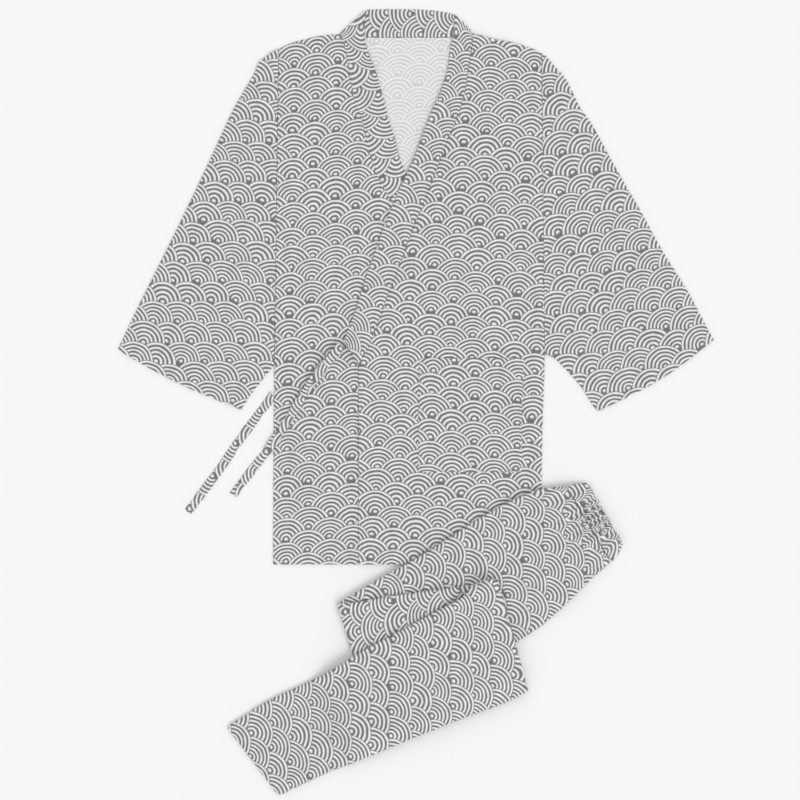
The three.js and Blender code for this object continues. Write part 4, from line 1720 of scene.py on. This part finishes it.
# Ridges of all the runs that lie at their place
TROUSER_CREASES = (
    Crease((128, -4), (22, -64), 6, 2.0, bow=5, lean=2.6),
    Crease((84, -24), (20, -52), 6, 2.4, bow=-3),
    Crease((98, -64), (150, -50), 9, 2.0, bow=3),
    Crease((12, -206), (-176, -262), 8, 4.5, bow=9, lean=2.4),
    Crease((-120, -226), (-30, -236), 8, 1.4, bow=-4),
    Crease((-102, -62), (-50, -80), 6, 2.2, bow=2),
    Crease((-96, -58), (-84, -104), 6, 1.8, bow=2),
    Crease((-10, -12), (110, 52), 7, 1.8, bow=4),
    Crease((190, 60), (270, 10), 8, 1.6, bow=6),
    Crease((120, 20), (210, -20), 10, 1.4, bow=-7),
    Crease((40, -150), (130, -110), 9, 1.2, bow=5),
)


@dataclass
class Trousers:
    """The trousers, folded lengthwise, then folded up at the knee and back across the jacket's hem.

    Args:
        stack: Height of the four plies laid together.
        gap: Room between one run and the next.
        drape: Distance over which a run comes down off what it lies on.
        hold: How far it carries on level first, over cloth below.
        hem_hold: The same over the jacket's hem.
        ground: Height of the jacket's top below the trousers.
        waistband: Width of the elastic waistband.
        length: Where the outer leg ends along the strip.
        inner_length: Where the inner leg ends.
        peep: How far the outer leg's upper edge stays back from the lower one.
        cuff_hem: Cross cuts between the cuff and its stitches.
        gather_height: Height of the gathers at the waist.
        gather_pitch: Distance between two of them.
        gather_run: How far they reach down the leg.
        bunching: How much wider the gathered cloth lies than its place, as a share.
        bunch_swing: How far it is pulled to and fro across by each gather.
        edges: The strip's two edges, from the waist to the cuff.
        leans: Slope of the cross cuts along the strip, apart from the folds.
        waist: The waist's middle in plan and the direction of the first run.
        fold_edges: A point of each fold's outer edge and the edge's direction.
        lay: How the strip is cut from the print.
        folds: The two folds, worked out from their edges.
    """

    stack: float = 6.0
    gap: float = 0.6
    drape: float = 44.0
    hold: float = 26.0
    hem_hold: float = 34.0
    ground: float = 5.1
    waistband: float = 28.0
    length: float = 1024.0
    inner_length: float = 1028.0
    peep: float = 1.6
    cuff_hem: int = 4
    gather_height: float = 6.0
    gather_pitch: float = 15.0
    gather_run: float = 105.0
    bunching: float = 0.3
    bunch_swing: float = 3.6
    edges: Table = Table(
        "along low high",
        (
            (0, -50, 50), (17, -57, 60), (36, -65, 65), (60, -75.5, 69.5), (83, -80, 75), (124, -84, 85.3),
            (165, -83.5, 92), (194, -82.5, 93.2), (265, -80.5, 92), (320, -82.5, 88), (400, -82, 80),
            (455, -87, 75), (532, -93, 69), (600, -97, 62), (626, -108, 59.5), (645, -109, 59.5),
            (669, -101.5, 60.5), (700, -99.6, 58), (756, -97.6, 52), (811, -96, 47.5), (907, -89.5, 41),
            (970, -91, 36.5), (1030, -85, 36),
        ),
    )
    leans: tuple[Table, Table, Table] = (
        Table(
            "along lean",
            ((0, 0), (28, 0), (62, 0), (122, 0.05), (200, 0.11), (280, 0.17), (362, 0.22)),
        ),
        Table("along lean", ((432, 0.23), (500, 0.215), (580, 0.2))),
        Table("along lean", ((656, 0.17), (1030, -0.187))),
    )
    waist: tuple[float, float, float] = (273.0, 71.5, 210.5)
    fold_edges: tuple[Row, Row] = ((-91.0, -92.0, 107.25), (148.0, -110.6, 105.25))
    lay: Lay = Lay(turn=0.0, slant=0.0, across=0.0, up=0.0)
    folds: list[Bend] = field(default_factory=list)

    def __post_init__(self) -> None:
        """Works out the two fold lines, the second one as it lies on the flat strip."""
        self.along = heading(self.waist[2])
        self.across = np.array([-self.along[1], self.along[0]])
        self.start = np.array(self.waist[:2])
        first = self.bend_at(self.fold_edges[0], self.along)
        onward = heading(2.0 * self.fold_edges[0][2] - self.waist[2])
        second = self.bend_at(self.fold_edges[1], onward)
        point = first.turned(second.point)
        ahead = first.turned(second.point + second.ahead) - point
        flat = Bend(point, ahead, second.arc, second.gap, second.stack)
        self.folds = [first, flat]

    def bend_at(self, edge: Row, travel: Array) -> Bend:
        """The fold whose outer edge runs through a point in a direction.

        Args:
            edge: The point in plan and the direction, in degrees.
            travel: The way the strip goes into the fold.

        Returns:
            The fold.
        """
        run = heading(edge[2])
        ahead = np.array([-run[1], run[0]])
        ahead = ahead * np.sign(ahead @ travel)
        pitch = self.stack + self.gap
        point = np.array(edge[:2]) - ahead * (self.stack + self.gap / 2)
        return Bend(point, ahead, math.pi * pitch / 2, self.gap, self.stack)

    def edge(self, along: Array, side: str) -> Array:
        """Place of the strip's low or high edge."""
        return self.edges.at("along", along, side)

    def outside(self, place: Array, start: Bend | None, end: Bend) -> Array:
        """How far places lie outside a stretch of the flat strip.

        Args:
            place: Places in plan.
            start: The fold that the stretch comes from, or None at the waist.
            end: The fold that it runs into.

        Returns:
            The distances, negative inside.
        """
        local = place - self.start
        along, across = local @ self.along, local @ self.across
        sides = np.maximum(across - self.edge(along, "high"), self.edge(along, "low") - across)
        behind = -along if start is None else -start.past(place)
        return np.maximum(np.maximum(sides, behind), end.past(place))

    def rest(self, place: Array) -> tuple[Array, Array, Array]:
        """How far each place is carried by what lies under it.

        Args:
            place: Places in plan.

        Returns:
            Shares from 0 to 1 for the jacket, the first run and the second run.
        """
        x, y = place[..., 0], place[..., 1]
        hem = np.maximum(np.maximum(x - LEFT_SIDE.rows[0][1], -y), RIGHT_SIDE.rows[0][1] - x)
        first, second = self.folds

        def held(distance: Array, hold: float) -> Array:
            """1 near what carries the cloth, falling to 0 away from it."""
            return 1.0 - smooth((distance - hold) / self.drape)

        return (
            held(hem, self.hem_hold),
            held(self.outside(place, None, first), self.hold),
            held(self.outside(first.turned(place), first, second), self.hold),
        )

    def folded(self, along: Array, across: Array, depth: Array) -> Array:
        """Where points of the strip end up once the trousers are folded.

        Args:
            along: Distance from the waist.
            across: Distance from the strip's middle line.
            depth: Height above the strip's underside.

        Returns:
            The points in the jacket's frame.
        """
        along, across, depth = np.broadcast_arrays(along, across, depth)
        flat = self.start + along[..., None] * self.along + across[..., None] * self.across
        first, second = self.folds
        place, height, second_turn = second.bent(flat, depth, second.past(flat), -1.0)
        place, height, first_turn = first.bent(place, height, first.past(flat), 1.0)
        jacket, run_one, run_two = self.rest(place)
        pitch = self.stack + self.gap
        height = height + self.ground * jacket
        height = height - pitch * (1.0 - run_one) * first_turn - pitch * (1.0 - run_two) * second_turn
        x, y = place[..., 0], place[..., 1]
        height = height + lifted(TROUSER_CREASES, x, y) + lifted(PUFFS, x, y) * smooth(second_turn)
        return np.concatenate([place, height[..., None]], axis=-1)

    def fold_along(self, line: Bend, across: float) -> float:
        """Where a fold line crosses the strip."""
        foot = self.start + across * self.across
        return float(-line.past(foot) / (line.ahead @ self.along))

    def cuts(self, start: float, end: float) -> tuple[Array, Array]:
        """Cross cuts of the strip, close together in the folds and leaning with them.

        Args:
            start: The first cut.
            end: The last cut.

        Returns:
            Distance along the middle line of each cut, and how much it leans.
        """
        waist, knee, cuff = (list(table.rows) for table in self.leans)
        knots: list[Row] = waist
        fine: list[tuple[float, float]] = []
        for line, after in zip(self.folds, (knee, cuff)):
            first = self.fold_along(line, 0.0)
            lean = self.fold_along(line, 1.0) - first
            last = first + line.arc / float(line.ahead @ self.along)
            knots = [*knots, (first - 1.0, lean), (last + 1.0, lean), *after]
            fine.append((first - 2.0, last + 2.0))
        steps = [np.array([start, start + EDGE_PAIR])]
        at = start + GRID
        while at < end - GRID / 2:
            steps.append(np.array([at]))
            at += FOLD_GRID if any(low < at < high for low, high in fine) else GRID
        steps.append(np.array([end - EDGE_PAIR, end]))
        along = np.concatenate(steps)
        table = np.array(knots, float)
        return along, np.interp(along, table[:, 0], table[:, 1])

    def gather(self, along: Array, across: Array) -> Array:
        """The gathers that the elastic draws up, fading down the leg.

        Args:
            along: Distance from the waist.
            across: Distance from the strip's middle line.

        Returns:
            Their height at each place.
        """
        run = self.gather_run * (0.75 + 0.25 * np.sin(across / 11.0))
        reach = 1.0 - smooth((along - 14.0) / run)
        uneven = 0.74 + 0.26 * np.sin(across / 17.0 + 1.3)
        return self.gather_height * reach * self.pleat(along, across) * uneven

    def bunched(self, along: Array, across: Array, unrolled: Array) -> Array:
        """Where gathered cloth comes from across its flat width, bunched up towards the waist.

        Args:
            along: Distance from the waist.
            across: Distance from the strip's middle line.
            unrolled: The same distance on the cloth before it is gathered.

        Returns:
            The distance across the cloth that is drawn up to each place.
        """
        reach = 1.0 - smooth((along - 6.0) / self.gather_run)
        swing = np.sin(2.0 * math.pi * self.wave(along, across))
        return unrolled * (1.0 + self.bunching * reach) + self.bunch_swing * reach * swing

    def pleat(self, along: Array, across: Array) -> Array:
        """The gathers' own round shape, from 0 in a valley to 1 on a crest."""
        return 0.5 + 0.5 * np.cos(2.0 * math.pi * self.wave(along, across))

    def wave(self, along: Array, across: Array) -> Array:
        """How many gathers lie between the strip's middle line and a place across it."""
        count = across / self.gather_pitch
        return count + 0.45 * np.sin(count) + 0.25 * np.sin(along / 21.0 + across / 19.0)

    def scallop(self, along: Array, across: Array) -> Array:
        """How far the gathered waist end bulges out past its straight line."""
        return 2.6 * (1.0 - smooth(along / 16.0)) * (self.pleat(along, across) - 0.5)

    def ply_grid(
        self, cuts: tuple[Array, Array], columns: int, depths: Row, low_in: float, high_in: float
    ) -> Cloth:
        """A ply wrapped round the low edge: over the top, round the edge and back underneath.

        Args:
            cuts: The strip's cross cuts.
            columns: How many points go across each layer.
            depths: Height of the lower and of the upper layer in the stack.
            low_in: How far the wrap stays in from the low edge.
            high_in: How far both layers stay in from the high edge.

        Returns:
            The cloth, with its cut.
        """
        along, lean = cuts[0][:, None], cuts[1][:, None]
        low_at = self.edge(cuts[0], "low")[:, None]
        high_at = self.edge(cuts[0], "high")[:, None]
        low = self.edge(along + lean * low_at, "low") + low_in
        high = self.edge(along + lean * high_at, "high") - high_in
        radius = (depths[1] - depths[0]) / 2
        middle = (depths[1] + depths[0]) / 2
        flat = np.concatenate([[0.0, 0.008], np.linspace(0.02, 1.0, columns)])
        angles = np.linspace(math.pi / 2, -math.pi / 2, 2 * FOLD_STEPS + 1)[1:-1]
        begin = low + radius
        upper = high - self.peep + (begin - high + self.peep) * flat
        around = low + radius * (1.0 - np.cos(angles))
        lower = high + (begin - high) * flat[::-1]
        across = np.concatenate([upper, around, lower], axis=1)
        count = len(flat)
        swing = np.concatenate([np.ones(count), np.sin(angles), -np.ones(count)])
        at = along + lean * across
        outer = depths[1] > self.stack - 1.0
        bump = self.gather(at, across) * np.maximum(swing, 0.0) * outer
        points = self.folded(at, across, middle + radius * swing + bump)
        unrolled = np.where(np.arange(across.shape[1]) < count + len(angles) // 2, across, 2.0 * low - across)
        cut = self.lay.cut(self.bunched(at, across, unrolled), -at)
        return Cloth(points, cut, wrapped=True)

    def outer_leg(self) -> Object:
        """The leg that shows, wrapped round the other.

        Returns:
            The piece.
        """
        columns, depths = 66, (0.5, self.stack - 0.5)
        cloth = self.ply_grid(self.cuts(self.waistband + 0.4, self.length), columns, depths, 0.5, 0.0)
        piece = dress(cloth.build("left_leg"), "trouser_left_leg")
        line = cloth.points[-1 - self.cuff_hem, 2:columns] + UP * CLOTH / 2
        seam = sewn("left_leg_cuff_stitches", [StitchRow(line)])
        return piece

    def inner_leg(self) -> Object:
        """The other leg, folded inside.

        Returns:
            The piece.
        """
        columns, depths = 36, (2.2, self.stack - 2.2)
        cloth = self.ply_grid(self.cuts(self.waistband + 4.0, self.inner_length), columns, depths, 3.4, 1.8)
        piece = dress(cloth.build("right_leg"), "trouser_right_leg")
        return piece

    def waist_band(self) -> Object:
        """The elastic waistband, a flattened tube drawn up into gathers.

        Returns:
            The piece.
        """
        between = np.linspace(2.5, self.waistband - 2.0, 16)
        along = np.concatenate([[0.0, 1.0], between, [self.waistband - 0.8]])[:, None]
        low, high = self.edge(along, "low"), self.edge(along, "high")
        count, ends = 150, 6
        turn = np.linspace(0.0, 2.0 * math.pi, 2 * count + 1)[None, :]
        share = np.where(turn < math.pi, turn / math.pi, 2.0 - turn / math.pi)
        across = low + (high - low) * share
        swing = np.sign(np.sin(turn)) * (1.0 - np.abs(2.0 * share - 1.0) ** 24) ** 0.5
        half = (self.stack / 2 - 0.5) * (0.35 + 0.65 * smooth(along / 8.0))
        bump = self.gather(along, across) * np.abs(swing)
        channel = 0.35 * np.cos(2.0 * math.pi * along / 9.0)
        height = self.stack / 2 + swing * half + np.maximum(swing, 0.0) * (bump + channel)
        points = self.folded(along - self.scallop(along, across), across, height)
        unrolled = np.where(turn < math.pi, across, 2.0 * high - across)
        unrolled = self.bunched(along, across, unrolled)
        cut = self.lay.cut(unrolled, -np.broadcast_to(along, across.shape))
        cloth = Cloth(points, cut, round=True)
        piece = dress(cloth.build("waistband"), "trouser_waistband")
        rows = [StitchRow(cloth.points[row, ends : count - ends] + UP * CLOTH / 2) for row in (3, 8, 13, 17)]
        seam = sewn("waistband_stitches", rows)
        return piece

    def build(self) -> list[Object]:
        """Builds the waistband and both legs."""
        return [self.waist_band(), self.outer_leg(), self.inner_leg()]


# ---------------------------------------------------------------------------------------------
# Studio
# ---------------------------------------------------------------------------------------------


@dataclass
class Studio:
    """The pale floor, the soft light and the camera straight above.

    Args:
        view: Width of what the camera sees at the cloth, in metres.
        lens: Focal length in millimetres.
        sensor: Width of the camera's sensor in millimetres.
        aim: What the camera looks at, in metres.
        floor_size: Width of the floor in metres.
        floor_drop: How far below the garment it lies, in metres.
        floor_tone: Its grey.
        sky: Strength of the even sky.
        key: Strength of the lamp.
        key_width: Angle over which the lamp spreads, in degrees.
        key_tilt: Degrees between the lamp's light and straight down.
        key_turn: Degrees by which it is turned about the vertical.
    """

    view: float = 1.12
    lens: float = 100.0
    sensor: float = 36.0
    aim: tuple[float, float, float] = (-0.0221, 0.003, 0.003)
    floor_size: float = 14.0
    floor_drop: float = 0.0002
    floor_tone: float = 0.93
    sky: float = 0.81
    key: float = 0.78
    key_width: float = 34.0
    key_tilt: float = 37.0
    key_turn: float = 40.0

    def floor(self) -> Object:
        """A plain pale floor under the garment.

        Returns:
            The floor.
        """
        mesh = bpy.data.meshes.new("studio_floor")
        half = self.floor_size / 2
        corners = [(-half, -half), (half, -half), (half, half), (-half, half)]
        mesh.from_pydata([(x, y, -self.floor_drop) for x, y in corners], [], [(0, 1, 2, 3)])
        made = bpy.data.objects.new("studio_floor", mesh)
        bpy.context.scene.collection.objects.link(made)
        paint = bpy.data.materials.new("studio_floor_paint")
        paint.use_nodes = True
        shader = paint.node_tree.nodes["Principled BSDF"]
        shader.inputs["Base Color"].default_value = (self.floor_tone, self.floor_tone, self.floor_tone, 1.0)
        shader.inputs["Roughness"].default_value = 0.9
        shader.inputs["Specular IOR Level"].default_value = 0.1
        mesh.materials.append(paint)
        return made

    def light(self) -> None:
        """An even white sky and one wide soft lamp from the lower right."""
        world = bpy.data.worlds.new("studio_sky")
        world.use_nodes = True
        background = world.node_tree.nodes["Background"]
        background.inputs["Color"].default_value = (1.0, 1.0, 1.0, 1.0)
        background.inputs["Strength"].default_value = self.sky
        bpy.context.scene.world = world
        lamp = bpy.data.lights.new("studio_key", "SUN")
        lamp.energy = self.key
        lamp.angle = math.radians(self.key_width)
        made = bpy.data.objects.new("studio_key", lamp)
        made.rotation_euler = (math.radians(self.key_tilt), 0.0, math.radians(self.key_turn))
        bpy.context.scene.collection.objects.link(made)
        bpy.context.scene.view_settings.view_transform = "Standard"

    def camera(self) -> Object:
        """The camera, looking straight down.

        Returns:
            The camera.
        """
        data = bpy.data.cameras.new("studio_camera")
        data.lens = self.lens
        data.sensor_width = self.sensor
        made = bpy.data.objects.new("studio_camera", data)
        height = self.view * self.lens / self.sensor
        made.location = (self.aim[0], self.aim[1], self.aim[2] + height)
        data.clip_end = 4.0 * height
        bpy.context.scene.collection.objects.link(made)
        bpy.context.scene.camera = made
        return made

    def build(self) -> None:
        """Sets up the floor, the light and the camera."""
        self.floor()
        self.light()
        self.camera()


def report(piece: Object) -> None:
    """Logs what a piece of cloth measures.

    Args:
        piece: The finished piece.
    """
    faces = piece.data.polygons
    cloth = sum(face.area for face in faces) / 2
    low = min(vertex.co.z for vertex in piece.data.vertices) / MM
    log.info("%s: %d faces, %.4f square metres, lowest at %.2f mm", piece.name, len(faces), cloth, low)


def main() -> None:
    """Builds the studio and every piece of the set."""
    logging.basicConfig(level=logging.INFO, format="%(name)s: %(message)s")
    Studio().build()
    parts = (JacketBody(), CollarBand(), FRONT_TIE, SIDE_TIE, RIGHT_SLEEVE, LEFT_SLEEVE, Trousers())
    for part in parts:
        for piece in part.build():
            report(piece)


if __name__ == "__main__":
    main()
